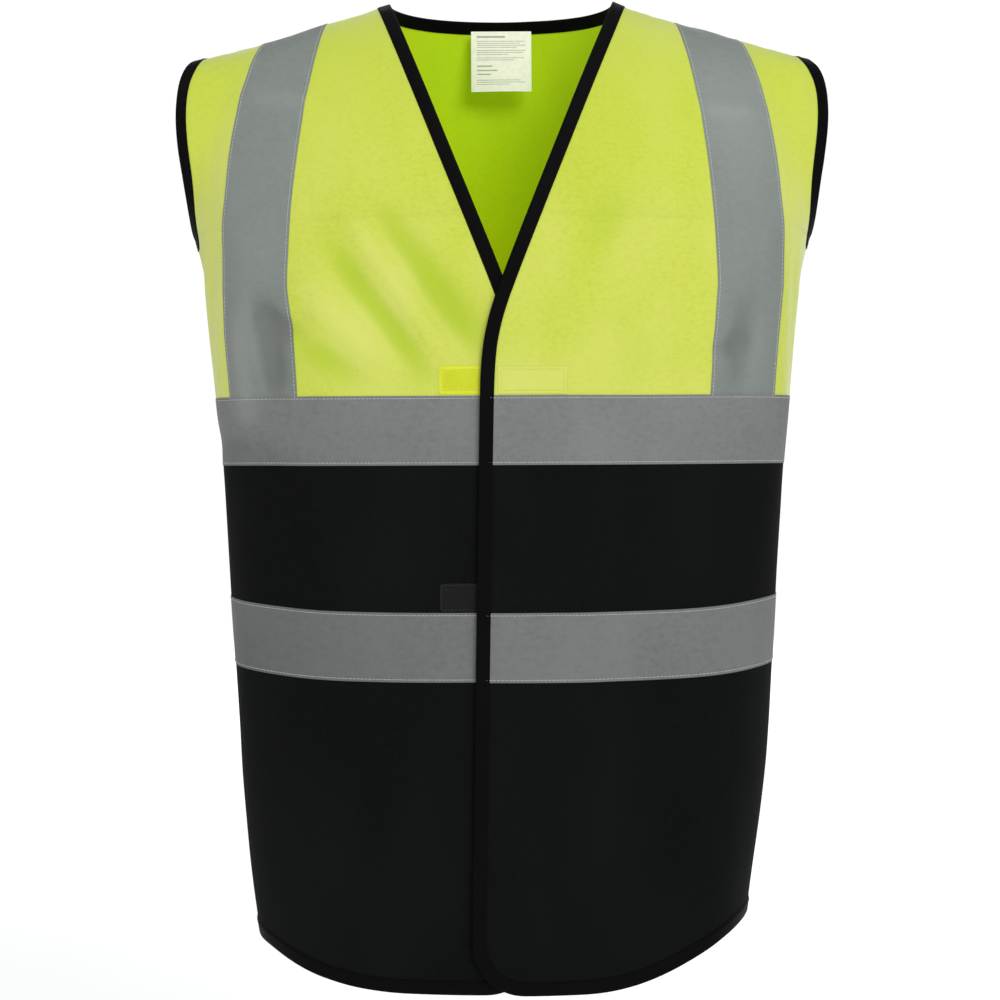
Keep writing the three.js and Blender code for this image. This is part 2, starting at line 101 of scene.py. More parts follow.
BRACE_OUTER, BRACE_INNER, NECK_ACROSS = 0.32, 0.52, 0.7
SHOULDER = [(0, TIP_X), (BRACE_OUTER, 178 * MM), (BRACE_INNER, 130 * MM)]


def curve_through(heights, values):
    """A smooth curve of a size in millimetres against height in millimetres."""
    fit = np.polyfit(np.array(heights) / 100, values, min(len(heights) - 1, 4))
    return lambda z: np.polyval(fit, np.clip(z / MM, heights[0], heights[-1]) / 100) * MM


half_width = curve_through([-732, -660, -570, -500, -420, -320, -222],
                           [173, 184, 189.5, 192.5, 201.5, 205.5, 218.5])
SIDES = {
    "front": dict(facing=-1, power=3.6, brace=(0.94, 0.715),
                  depth=curve_through([-732, -560, -400, -222], [104, 110, 112, 105])),
    "back": dict(facing=1, power=3.0, brace=(0.86, 0.64),
                 depth=curve_through([-732, -560, -400, -222], [98, 96, 92, 98])),
}


def smoothstep(x, low, high):
    t = np.clip((x - low) / (high - low), 0, 1)
    return t * t * (3 - 2 * t)


def squircle(angle, power):
    c, s = np.cos(angle), np.sin(angle)
    k = (np.abs(c) ** power + np.abs(s) ** power) ** (1 / power)
    return c / k, s / k


def angle_at(share, power):
    return np.arctan2((1 - np.abs(share) ** power) ** (1 / power), share)


def front_edge_x(z):
    """The front edge: down from the neck with a soft bend at the foot of the V."""
    slope = (NECK_X + OVERLAP) / (NECK_Z - V_FOOT_Z)
    softness = 13 * MM
    bend = slope * softness * np.log1p(np.exp(np.clip((z - V_FOOT_Z) / softness, -40, 40)))
    drift = np.clip((V_FOOT_Z - z) / (V_FOOT_Z - HEM_Z), 0, 1)
    return -OVERLAP - (HEM_OVERLAP - OVERLAP) * drift + bend


def round_corner(place, hand):
    """Rounds a front's lower corner: a square about the arc's centre becomes an arc.

    `hand` is 1 for the left front and -1 for the right.
    """
    centre_x, centre_z = CORNER_RADIUS - HEM_OVERLAP, HEM_Z + CORNER_RADIUS
    beside, below = centre_x - place[..., 0] * hand, centre_z - place[..., 2]
    inside = (beside > 0) & (below > 0)
    shrink = np.where(inside, np.maximum(beside, below) / np.maximum(np.hypot(beside, below), TINY), 1)
    place[..., 0] = np.where(inside, (centre_x - beside * shrink) * hand, place[..., 0])
    place[..., 2] = np.where(inside, centre_z - below * shrink, place[..., 2])


def lower_point(side, across, row):
    cut = SIDES[side]
    z0 = np.interp(row, range(len(ROW_Z)), ROW_Z)
    lift = np.interp(row, range(len(ROW_Z)), ROW_LIFT)
    outer, inner = (angle_at(share, cut["power"]) for share in cut["brace"])
    if side == "front":
        last = angle_at(front_edge_x(z0) / half_width(z0), cut["power"])
    else:
        last = np.full_like(z0, math.pi / 2)
    middle = outer + (inner - outer) * (across - BRACE_OUTER) / (BRACE_INNER - BRACE_OUTER)
    inside = inner + (last - inner) * (across - BRACE_INNER) / (1 - BRACE_INNER)
    angle = np.where(across <= BRACE_OUTER, outer * across / BRACE_OUTER,
                     np.where(across <= BRACE_INNER, middle, inside))
    c, s = squircle(angle, cut["power"])
    z = z0 + lift * np.abs(c) ** 4
    return np.stack([half_width(z) * c, cut["facing"] * cut["depth"](z) * s, z], -1)


def top_edge(side, across):
    """Where a column ends: on the shoulder seam, or on the back of the neck."""
    stops = SHOULDER + [(1 if side == "front" else NECK_ACROSS, NECK_X)]
    x = np.interp(across, [a for a, _ in stops], [v for _, v in stops])
    z = NECK_Z + (x - NECK_X) * (TIP_Z - NECK_Z) / (TIP_X - NECK_X)
    y = np.zeros_like(x)
    full_turn = np.full_like(x, math.pi / 2)
    if side == "back":
        angle = np.clip((across - NECK_ACROSS) / (1 - NECK_ACROSS), 0, 1) * math.pi / 2
        x = np.where(across > NECK_ACROSS, NECK_X * np.cos(angle), x)
        y = BACK_NECK_DEPTH * np.sin(angle)
        z = z - BACK_NECK_DIP * np.sin(angle)
        full_turn = full_turn - 0.65 * np.sin(angle)
    return x, y, z, full_turn


def upper_point(side, across, row):
    base = lower_point(side, across, np.full_like(row, CHEST_ROW))
    x, y, z, full_turn = top_edge(side, across)
    turn = np.interp(row, CHEST_ROW + np.arange(len(TURNS)), TURNS)
    angle = full_turn * turn
    rise = np.sin(angle) / np.sin(full_turn)
    hold = (np.cos(angle) - np.cos(full_turn)) / (1 - np.cos(full_turn))
    power = 1.3
    if side == "front":
        power = np.interp(across, [0, BRACE_OUTER, BRACE_INNER, 1], [1.2, 2.0, 1.7, 1])
    point = np.stack([base[..., 0] + (x - base[..., 0]) * rise ** power,
                      y + (base[..., 1] - y) * hold,
                      base[..., 2] + (z - base[..., 2]) * rise], -1)
    opened = np.clip((turn - TURNS[1]) / (1 - TURNS[1]), 0, 1)
    bow = np.clip(np.sin(math.pi * opened), 0, 1) ** 0.6
    flare = np.sin(math.pi * turn) * (1 + 0.5 * (1 - turn) ** 2)
    point[..., 0] += ARMHOLE_OUTWARD * flare * (1 - across) ** 5
    point[..., 1] += SIDES[side]["facing"] * ARMHOLE_FORWARD * bow * (1 - across) ** 3
    if side == "front":
        chest_edge_x = front_edge_x(np.array(CHEST_Z))
        climbed = point[..., 2] - CHEST_Z
        straight = chest_edge_x + (NECK_X - chest_edge_x) * climbed / (NECK_Z - CHEST_Z)
        point[..., 0] += (front_edge_x(point[..., 2]) - straight) * across ** 6
    return point


def surface(side, across, row):
    across, row = np.broadcast_arrays(np.asarray(across, float), np.asarray(row, float))
    lower = lower_point(side, across, np.minimum(row, CHEST_ROW))
    upper = upper_point(side, across, np.maximum(row, CHEST_ROW))
    return np.where((row <= CHEST_ROW)[..., None], lower, upper)


# ---------------------------------------------------------------- grids over the panels
CELL = 3.0 * MM
DRAPE_CELL = 9.0 * MM
# Widths in millimetres between the marks of each cut, which set the counts of columns.
FRONT_STRETCHES = (10, 66, 50, 130, 10)
BACK_STRETCHES = (10, 62, 50, 40, 95)


def fine_rows(cell):
    """Row positions, closer together where a row's step is longer. Each whole row is among them."""
    places = [0.0]
    for row in range(TOP_ROW):
        ends = surface("front", [0.45, 0.45], [row, row + 1])
        count = max(2, round(float(np.linalg.norm(ends[1] - ends[0])) / cell))
        places.extend(row + (k + 1) / count for k in range(count))
    return np.array(places)


def shares_between(marks, counts):
    """Positions from the first mark to the last, with a count of steps for each stretch."""
    stretches = [np.linspace(a, b, n, endpoint=False) for a, b, n in zip(marks, marks[1:], counts)]
    return np.concatenate([*stretches, [1.0]])


def fine_columns(side, row, counts):
    """The `across` positions of one row: fixed counts of columns between the marks of the cut."""
    across = np.linspace(0, 1, 1201)
    line = surface(side, across, row)
    travelled = np.concatenate([[0], np.cumsum(np.linalg.norm(np.diff(line, axis=0), axis=1))])
    first, last = np.interp([BIND_INSET, travelled[-1] - BIND_INSET], travelled, across)
    marks = [0, first, BRACE_OUTER, BRACE_INNER, last if side == "front" else NECK_ACROSS, 1]
    return shares_between(marks, counts)


def normals_of(place, outward):
    along = np.gradient(place, axis=1)
    up = np.gradient(place, axis=0)
    normal = np.cross(along, up)
    normal /= np.maximum(np.linalg.norm(normal, axis=-1, keepdims=True), 1e-12)
    flip = np.sign(np.sum(normal * outward, axis=-1, keepdims=True).mean())
    return normal * flip


class Panel:
    """A panel's grid of places, with the row and column numbers of its marks."""

    def __init__(self, side, stretches):
        counts = [max(2, round(width * MM / CELL)) for width in stretches]
        self.row_places = fine_rows(CELL)
        self.place = np.stack([surface(side, fine_columns(side, row, counts), row)
                               for row in self.row_places])
        self.marks = np.concatenate([[0], np.cumsum(counts)])
        self.outward = np.array([0, SIDES[side]["facing"], 0.35])
        self.finish()

    def finish(self):
        """Works out the normals and the texture places, once the places are settled."""
        self.normal = normals_of(self.place, self.outward)
        step_u = np.linalg.norm(np.diff(self.place, axis=1), axis=-1)
        step_v = np.linalg.norm(np.diff(self.place, axis=0), axis=-1)
        self.u = np.pad(np.cumsum(step_u, axis=1), ((0, 0), (1, 0)))
        self.v = np.pad(np.cumsum(step_v, axis=0), ((1, 0), (0, 0)))

    def with_places(self, place):
        twin = object.__new__(Panel)
        twin.__dict__.update(self.__dict__)
        twin.place = place
        twin.finish()
        return twin

    def mirrored(self):
        return self.with_places(self.place * MIRROR)

    def doubled(self):
        """The whole back from its left half."""
        whole = self.with_places(np.concatenate([self.place, self.place[:, -2::-1] * MIRROR], axis=1))
        last = whole.place.shape[1] - 1
        whole.marks = np.concatenate([self.marks, last - self.marks[-2::-1]])
        return whole

    def row(self, whole_row):
        return int(np.argmin(np.abs(self.row_places - whole_row)))


def linked(name, data):
    """An object for a mesh, a light or a camera, put in the scene."""
    made = bpy.data.objects.new(name, data)
    bpy.context.collection.objects.link(made)
    return made


# ---------------------------------------------------------------- the drape
WELD_DISTANCE = 0.4 * MM
DRAPE_FRAMES = 26
DRAPE_LIMIT = 9 * MM
HELD_NECK_Y, HELD_NECK_Z = 40 * MM, -10 * MM
HELD_SHOULDER_X, HELD_SHOULDER_Z = 80 * MM, -70 * MM
HELD_SEAM_REACH = 22 * MM
# How far the body form lies under the net, by height, both in millimetres.
FORM_HEIGHTS = [-729, -560, -300, -150, 0]
FORM_INSETS = [13, 9, 5, 4, 3]
FORM_UNEVEN = 2.0 * MM
CLOTH_SETTINGS = dict(quality=6, mass=0.12, tension_stiffness=12, compression_stiffness=6, shear_stiffness=4,
                      bending_stiffness=0.25, shrink_min=-0.018, vertex_group_mass="held", pin_stiffness=1)


def centre_limit(row):
    """How far across a row runs before it reaches the vest's centre, where the fronts cross."""
    across = np.linspace(BRACE_INNER, 1, 401)
    x = surface("front", across, row)[:, 0]
    if x[-1] >= 0:
        return 1.0
    return float(np.interp(0, -x, across))


def drape_net():
    """One net of coarse cells over the whole vest, with its seams welded."""
    rows = fine_rows(DRAPE_CELL)
    shares = shares_between((0, BRACE_OUTER, BRACE_INNER, 1), (9, 6, 12))
    front = np.stack([surface("front", shares * centre_limit(row), row) for row in rows])
    shares = shares_between((0, BRACE_OUTER, BRACE_INNER, NECK_ACROSS, 1), (9, 6, 12, 9))
    back = np.stack([surface("back", shares, row) for row in rows])
    net = bmesh.new()
    for number, grid in enumerate([front, front * MIRROR, back, back * MIRROR]):
        verts = [[net.verts.new(p) for p in line] for line in grid]
        for r in range(len(verts) - 1):
            for c in range(len(verts[0]) - 1):
                corners = [verts[r][c], verts[r][c + 1], verts[r + 1][c + 1], verts[r + 1][c]]
                net.faces.new(corners if number in (1, 2) else corners[::-1])
    bmesh.ops.remove_doubles(net, verts=net.verts[:], dist=WELD_DISTANCE)
    bmesh.ops.recalc_face_normals(net, faces=net.faces[:])
    return net


def soft_noise(points, scale, seed):
    offset = Vector((seed, 2.7 * seed, 1.3 * seed))
    return np.array([noise.noise(Vector(p * scale) + offset) for p in points])


def held_share(x, y, z):
    """1 on the shoulder seams and the back of the neck, which hold the net, and 0 where it hangs."""
    if z > HELD_NECK_Z and y > HELD_NECK_Y:
        return 1.0
    if z > HELD_SHOULDER_Z and abs(x) > HELD_SHOULDER_X:
        return max(0.0, 1 - abs(y) / HELD_SEAM_REACH)
    return 0.0


def body_form(mesh, rest, normal):
    """What the net lies on: the net itself, drawn inwards a little unevenly."""
    inset = np.interp(rest[:, 2] / MM, FORM_HEIGHTS, FORM_INSETS) * MM
    uneven = soft_noise(rest, 14, 3.1) * FORM_UNEVEN
    form = mesh.copy()
    form.vertices.foreach_set("co", (rest - normal * (inset + uneven)[:, None]).ravel())
    form.update()
    body = linked("body_form", form)
    body.modifiers.new("collision", "COLLISION")
    body.collision.thickness_outer = 2 * MM
    body.collision.cloth_friction = 8
    return body


def hang(net, rest, body):
    """Runs the cloth simulation on the net and returns how far each of its places moved."""
    held = net.vertex_groups.new(name="held")
    for index, place in enumerate(rest):
        held.add([index], held_share(*place), "REPLACE")
    cloth = net.modifiers.new("cloth", "CLOTH")
    for key, value in CLOTH_SETTINGS.items():
        setattr(cloth.settings, key, value)
    cloth.collision_settings.distance_min = 1.5 * MM
    cloth.collision_settings.collision_quality = 3
    scene = bpy.context.scene
    for number in range(1, DRAPE_FRAMES + 1):
        scene.frame_set(number)
    shaped = net.evaluated_get(bpy.context.evaluated_depsgraph_get()).to_mesh()
    shift = np.array([v.co for v in shaped.vertices]) - rest
    scene.frame_set(1)
    for item in (net, body):
        bpy.data.objects.remove(item)
    return shift


def drape_shift():
    """Hangs the net on a body form. Returns the net's places, how far each moved out of the
    surface, and the net's cells."""
    net = drape_net()
    mesh = bpy.data.meshes.new("drape_net")
    net.to_mesh(mesh)
    net.free()
    rest = np.array([v.co for v in mesh.vertices])
    normal = np.array([v.normal for v in mesh.vertices])
    cells = [tuple(p.vertices) for p in mesh.polygons]
    if np.sum(normal * rest * [1, 1, 0]) < 0:
        normal = -normal
    shift = hang(linked("drape_net", mesh), rest, body_form(mesh, rest, normal))
    height = np.sum(shift * normal, axis=1)
    return rest, DRAPE_LIMIT * np.tanh(height / DRAPE_LIMIT), cells


class Drape:
    """Carries the simulated net's heights over to any place near the vest's surface."""

    def __init__(self):
        self.rest, self.height, self.cells = drape_shift()
        self.tree = BVHTree.FromPolygons([Vector(p) for p in self.rest], self.cells)

    def at(self, points):
        out = np.zeros(len(points))
        for k, point in enumerate(points):
            place, _, cell, _ = self.tree.find_nearest(Vector(point))
            corners = list(self.cells[cell])
            away = np.linalg.norm(self.rest[corners] - np.array(place), axis=1)
            near = 1 / (away + WELD_DISTANCE) ** 2
            out[k] = (self.height[corners] * near).sum() / near.sum()
        return out


def smoothed(field, times):
    for _ in range(times):
        padded = np.pad(field, 1, mode="edge")
        field = (padded[:-2, 1:-1] + padded[2:, 1:-1] + padded[1:-1, :-2] + padded[1:-1, 2:] + 2 * field) / 6
    return field


PULL_STRENGTH = 2.3
# Soft pulls in the fronts: where each starts and ends as seen from the front, half its width and
# its height, all in millimetres. A negative height is a hollow.
FRONT_PULLS = [
    ((-90, -165), (-22, -262), 14, -1.6), ((-112, -168), (-34, -285), 13, 2.2),
    ((-128, -188), (-50, -288), 14, -1.9), ((-150, -214), (-70, -300), 16, 1.8),
    ((-146, -262), (-64, -300), 14, -1.6), ((92, -150), (22, -262), 17, -0.7),
    ((112, -176), (44, -296), 17, 0.7), ((140, -214), (84, -300), 19, -0.6),
    ((-176, -232), (-166, -300), 11, -2.0), ((-196, -236), (-184, -330), 12, 1.8),
    ((178, -226), (168, -304), 12, -1.8), ((-205, -330), (-150, -352), 12, -1.2),
    ((-190, -80), (-142, -86), 9, 1.5), ((190, -96), (142, -92), 9, 1.2),
    ((-182, -242), (-146, -254), 8, -1.3), ((182, -262), (146, -268), 9, -1.2),
]


def pull_height(points, start, end, half, height):
    """A ridge along a line, with a round section that fades out at both ends."""
    start, end = np.array(start) * MM, np.array(end) * MM
    line = end - start
    reach = np.linalg.norm(line)
    offset = points[:, [0, 2]] - start
    along = offset @ line / reach ** 2
    across = np.abs(offset[:, 0] * line[1] - offset[:, 1] * line[0]) / reach
    ends = smoothstep(along, -0.25, 0.3) * (1 - smoothstep(along, 0.7, 1.25))
    return height * MM * np.exp(-(across / (half * MM)) ** 2) * ends * (points[:, 1] < 0)


def fold_height(places):
    """Soft folds: long upright ones in the skirt, slanting ones under the shoulders."""
    points = places.reshape(-1, 3)
    skirt = smoothstep(-points[:, 2], 0.34, 0.66)
    upright = soft_noise(points * [1, 1, 0.16], 17, 5.2) * 3.2 * MM * skirt
    slanting = soft_noise(points * [1, 1, 0.5] + points[:, [2, 2, 0]] * [0.35, 0, 0], 13, 9.4) * 2.2 * MM
    fine = soft_noise(points * [1, 1, 0.45], 42, 1.7) * 0.5 * MM
    pulls = sum(pull_height(points, *pull) for pull in FRONT_PULLS) * PULL_STRENGTH
    return (upright + slanting * (1 - 0.6 * skirt) + fine + pulls).reshape(places.shape[:2])


HEM_PULL_X = (60 * MM, 175 * MM)
HEM_PULL_RISE = (30 * MM, 170 * MM)
HEM_PULL_INWARD = 0.45
UNDERARM_PASSES = 12
UNDERARM_ROWS = 9
UNDERARM_MARGIN = 5
JOIN_CELLS = 8
HEIGHT_PASSES = 8
CLOSURE_X = (48 * MM, 92 * MM)


def draw_up_hem(place):
    """The wearer's left of the hem hangs a little higher and closer to the body."""
    beside = smoothstep(place[..., 0], *HEM_PULL_X)
    drawn = HEM_DRAWN_UP * beside * (1 - smoothstep(place[..., 2] - HEM_Z, *HEM_PULL_RISE))
    place[..., 2] += drawn
    place[..., 0] -= drawn * HEM_PULL_INWARD


def soften_underarm(place, foot):
    """Rounds the crease that would run across a panel from the foot of the armhole."""
    smooth = place.copy()
    for _ in range(UNDERARM_PASSES):
        smooth[1:-1] = (smooth[:-2] + 2 * smooth[1:-1] + smooth[2:]) / 4
    rows, columns = (np.arange(n) for n in place.shape[:2])
    inwards = smoothstep(np.minimum(columns, columns[::-1]), 0, UNDERARM_MARGIN)
    share = np.exp(-((rows - foot) / UNDERARM_ROWS) ** 2)[:, None] * inwards
    place += (smooth - place) * share[..., None]


def join_side(front_place, back_place, foot):
    """Closes a side seam, up to the foot of the armhole and fading out above it."""
    gap = back_place[:, :1] - front_place[:, :1]
    gap[foot:foot + JOIN_CELLS] = gap[foot] * np.linspace(1, 0, JOIN_CELLS)[:, None, None]
    gap[foot + JOIN_CELLS:] = 0
    fade = np.linspace(0.5, 0, JOIN_CELLS)[:, None]
    front_place[:, :JOIN_CELLS] += gap * fade
    back_place[:, :JOIN_CELLS] -= gap * fade


def drape_panel(panel, drape, step=0.0):
    """Hangs and folds a panel. `step` lifts it clear of the front that it closes over."""
    hung = drape.at(panel.place.reshape(-1, 3)).reshape(panel.place.shape[:2])
    near = 1 - smoothstep(panel.place[..., 0], *CLOSURE_X)
    panel.fold = fold_height(panel.place)
    height = smoothed(hung, HEIGHT_PASSES) + panel.fold + step * near
    panel.place = panel.place + panel.normal * height[..., None]
    draw_up_hem(panel.place)
    soften_underarm(panel.place, panel.row(UNDERARM_ROW))
    return panel


# ---------------------------------------------------------------- meshes
SHARP_DEGREES = 55


def new_piece(name, verts, faces, material, uvs, lining=None):
    """A closed mesh whose faces point outwards, with one texture place for each vertex.

    `lining` is a second material and the range of faces that it covers.
    """
    verts = np.asarray(verts, float)
    volume = 0.0
    for fan in ((0, 1, 2), (0, 2, 3)):
        whole = [f for f in faces if len(f) > fan[-1]]
        a, b, c = (verts[[f[k] for f in whole]] for k in fan)
        volume += np.sum(a * np.cross(b, c))
    if volume < 0:
        faces = [tuple(reversed(f)) for f in faces]
    mesh = bpy.data.meshes.new(name)
    mesh.from_pydata([tuple(v) for v in verts], [], faces)
    mesh.update()
    layer = mesh.uv_layers.new(name="UVMap")
    loops = np.zeros(len(mesh.loops), dtype=np.int32)
    mesh.loops.foreach_get("vertex_index", loops)
    layer.data.foreach_set("uv", np.asarray(uvs, float)[loops].astype(np.float32).ravel())
    mesh.materials.append(material)
    if lining:
        mesh.materials.append(lining[0])
        mesh.polygons.foreach_set("material_index", [int(k in lining[1]) for k in range(len(faces))])
    mesh.polygons.foreach_set("use_smooth", [True] * len(mesh.polygons))
    mesh.set_sharp_from_angle(angle=math.radians(SHARP_DEGREES))
    return linked(name, mesh)


def grid_faces(rows, columns, start=0, flip=False):
    index = np.arange(rows * columns).reshape(rows, columns) + start
    quads = np.stack([index[:-1, :-1], index[:-1, 1:], index[1:, 1:], index[1:, :-1]], -1).reshape(-1, 4)
    return (quads[:, ::-1] if flip else quads).tolist()


def rim(rows, columns):
    index = np.arange(rows * columns).reshape(rows, columns)
    return np.concatenate([index[0, :-1], index[:-1, -1], index[-1, :0:-1], index[:0:-1, 0]])


def closed_sheet(name, outer, inner, uv, material, lining=None):
    """A closed mesh between two grids of places. `lining` is a second material, for the inner face."""
    shape = outer.shape[:2]
    count = shape[0] * shape[1]
    faces = grid_faces(*shape) + grid_faces(*shape, start=count, flip=True)
    cells = len(faces) // 2
    loop = rim(*shape).tolist()
    faces += [(b, a, a + count, b + count) for a, b in zip(loop, loop[1:] + loop[:1])]
    places = np.concatenate([outer.reshape(-1, 3), inner.reshape(-1, 3)])
    return new_piece(name, places, faces, material, np.tile(uv.reshape(-1, 2), (2, 1)),
                     (lining, range(cells, 2 * cells)) if lining else None)


def sheet_piece(name, panel, rows, columns, depth, material, lining=None):
    """Part of a panel as a sheet. `depth` is how far its two faces are off the cloth's outer face."""
    block = (slice(rows[0], rows[1] + 1), slice(columns[0], columns[1] + 1))
    place, normal, u, v = (field[block] for field in (panel.place, panel.normal, panel.u, panel.v))
    inner, outer = (place + normal * off for off in depth)
    piece = closed_sheet(name, outer, inner, np.stack([u, v], -1), material, lining)
    fold = np.tile(panel.fold[block].ravel() / MM, 2).astype(np.float32)
    piece.data.attributes.new("fold", "FLOAT", "POINT").data.foreach_set("value", fold)
    return piece


INSIDE_STEP = 4


def edge_path(panel, nodes):
    """Places and normals along a panel's edge, with the way into the panel square to the edge."""
    place = np.array([panel.place[r, c] for r, c in nodes])
    normal = np.array([panel.normal[r, c] for r, c in nodes])
    for _ in range(2):
        normal[1:-1] = (normal[:-2] + 2 * normal[1:-1] + normal[2:]) / 4
    normal /= np.linalg.norm(normal, axis=1, keepdims=True)
    tangent = np.gradient(place, axis=0)
    inward = np.cross(normal, tangent)
    inward /= np.linalg.norm(inward, axis=1, keepdims=True)
    last_row, last_column = (n - 1 - INSIDE_STEP for n in panel.place.shape[:2])
    rows, columns = np.array(nodes).T
    inside = panel.place[np.clip(rows, INSIDE_STEP, last_row), np.clip(columns, INSIDE_STEP, last_column)]
    if np.sum(inward * (inside - place)) < 0:
        inward = -inward
    return place, normal, inward


def surface_tree(panel):
    shape = panel.place.shape[:2]
    return BVHTree.FromPolygons([Vector(p) for p in panel.place.reshape(-1, 3)], grid_faces(*shape))


def leaf_places(tree, path, distances):
    """Places on the panel at each distance in from its edge."""
    place, _, inward = path
    out = np.zeros((len(place), len(distances), 3))
    for k, start in enumerate(place):
        for j, distance in enumerate(distances):
            aim = start + inward[k] * distance
            out[k, j] = tree.find_nearest(Vector(aim))[0] if distance else start
    return out


# Where a binding's leaf bends across its width, and its fold as (beyond the edge, height) in mm.
LEAF_SHARES = [1, 0.76, 0.5, 0.24, 0]
FOLD = [(0.55, 0.52), (0.92, 0.12), (1.02, -0.28), (0.92, -0.68), (0.55, -1.08)]
LEAF_TUCK = 0.22 * MM
LEAF_SLACK = 0.03 * MM
CLOTH_EDGE_INSET = 0.2 * MM
FOLD_ROUND = 2 * MM


def binding_piece(name, tree, path, material, width):
    """A tape folded over an edge: two leaves and a round fold, swept along the path."""
    place, normal, inward = path
    steps_in = [share * width for share in LEAF_SHARES]
    leaves = leaf_places(tree, path, steps_in)
    top, floor = BINDING_LEAF, -CLOTH_THICK - BINDING_LEAF
    tucks = [LEAF_TUCK] + [0] * (len(steps_in) - 1)
    rings = [leaves[:, j] + normal * (top - tuck) for j, tuck in enumerate(tucks)]
    rings += [place - inward * beyond * MM + normal * height * MM for beyond, height in FOLD]
    rings += [leaves[:, j] + normal * (floor + tucks[j]) for j in reversed(range(len(tucks)))]
    inside = place + inward * CLOTH_EDGE_INSET
    under, over = normal * (-CLOTH_THICK - LEAF_SLACK), normal * LEAF_SLACK
    rings += [leaves[:, 0] + under, inside + under, inside + over, leaves[:, 0] + over]
    widths = [-step for step in steps_in] + [beyond * MM for beyond, _ in FOLD]
    widths += [step + FOLD_ROUND for step in reversed(steps_in)] + [0, 0, 0, -width]
    rings = np.stack(rings, axis=1)
    steps, size = rings.shape[:2]
    along = np.concatenate([[0], np.cumsum(np.linalg.norm(np.diff(place, axis=0), axis=1))])
    uv = np.stack(np.broadcast_arrays(along[:, None], np.array(widths)[None, :]), -1).reshape(-1, 2)
    index = np.arange(steps * size).reshape(steps, size)
    turned = np.roll(index, -1, axis=1)
    faces = np.stack([index[:-1], turned[:-1], turned[1:], index[1:]], -1).reshape(-1, 4).tolist()
    faces += [tuple(index[0, ::-1].tolist()), tuple(index[-1].tolist())]
    return new_piece(name, rings.reshape(-1, 3), faces, material, uv)


# ---------------------------------------------------------------- node graphs
class Graph:
    """Builds a node tree: one call for a node, its settings and its sockets."""

    def __init__(self, tree):
        self.tree = tree

    def node(self, kind, settings=None, sockets=None):
        made = self.tree.nodes.new(kind)
        for key, value in (settings or {}).items():
            setattr(made, key, value)
        for key, value in (sockets or {}).items():
            source = getattr(value, "socket", value)
            if isinstance(source, bpy.types.NodeSocket):
                self.tree.links.new(source, made.inputs[key])
            else:
                made.inputs[key].default_value = source
        return made

    def math(self, operation, *values):
        made = self.node("ShaderNodeMath", {"operation": operation}, dict(enumerate(values)))
        return Number(self, made.outputs[0])


class Number:
    """A number in a graph. Arithmetic on it adds the Math nodes it needs."""

    def __init__(self, graph, socket):
        self.graph, self.socket = graph, socket

    def __add__(self, other):
        return self.graph.math("ADD", self, other)

    def __sub__(self, other):
        return self.graph.math("SUBTRACT", self, other)

    def __rsub__(self, other):
        return self.graph.math("SUBTRACT", other, self)

    def __mul__(self, other):
        return self.graph.math("MULTIPLY", self, other)

    __radd__ = __add__

    def sine(self):
        return self.graph.math("SINE", self)

    def size(self):
        return self.graph.math("ABSOLUTE", self)

    def between(self, low, high):
        """0 below `low` to 1 above `high`, smoothly."""
        made = self.graph.node("ShaderNodeMapRange", {"interpolation_type": "SMOOTHSTEP"},
                               {"Value": self, "From Min": low, "From Max": high})
        return Number(self.graph, made.outputs["Result"])


# Fold heights in millimetres over which the painted fold highlight and the painted fold shade grow.
FOLD_SPAN = (0.3, 4.5)
SURFACE_SOCKETS = {
    "colour": "Base Color", "roughness": "Roughness", "normal": "Normal", "metallic": "Metallic",
    "sheen": "Sheen Weight", "sheen_roughness": "Sheen Roughness", "specular": "Specular IOR Level",
    "glow": "Emission Color", "glow_strength": "Emission Strength",
}


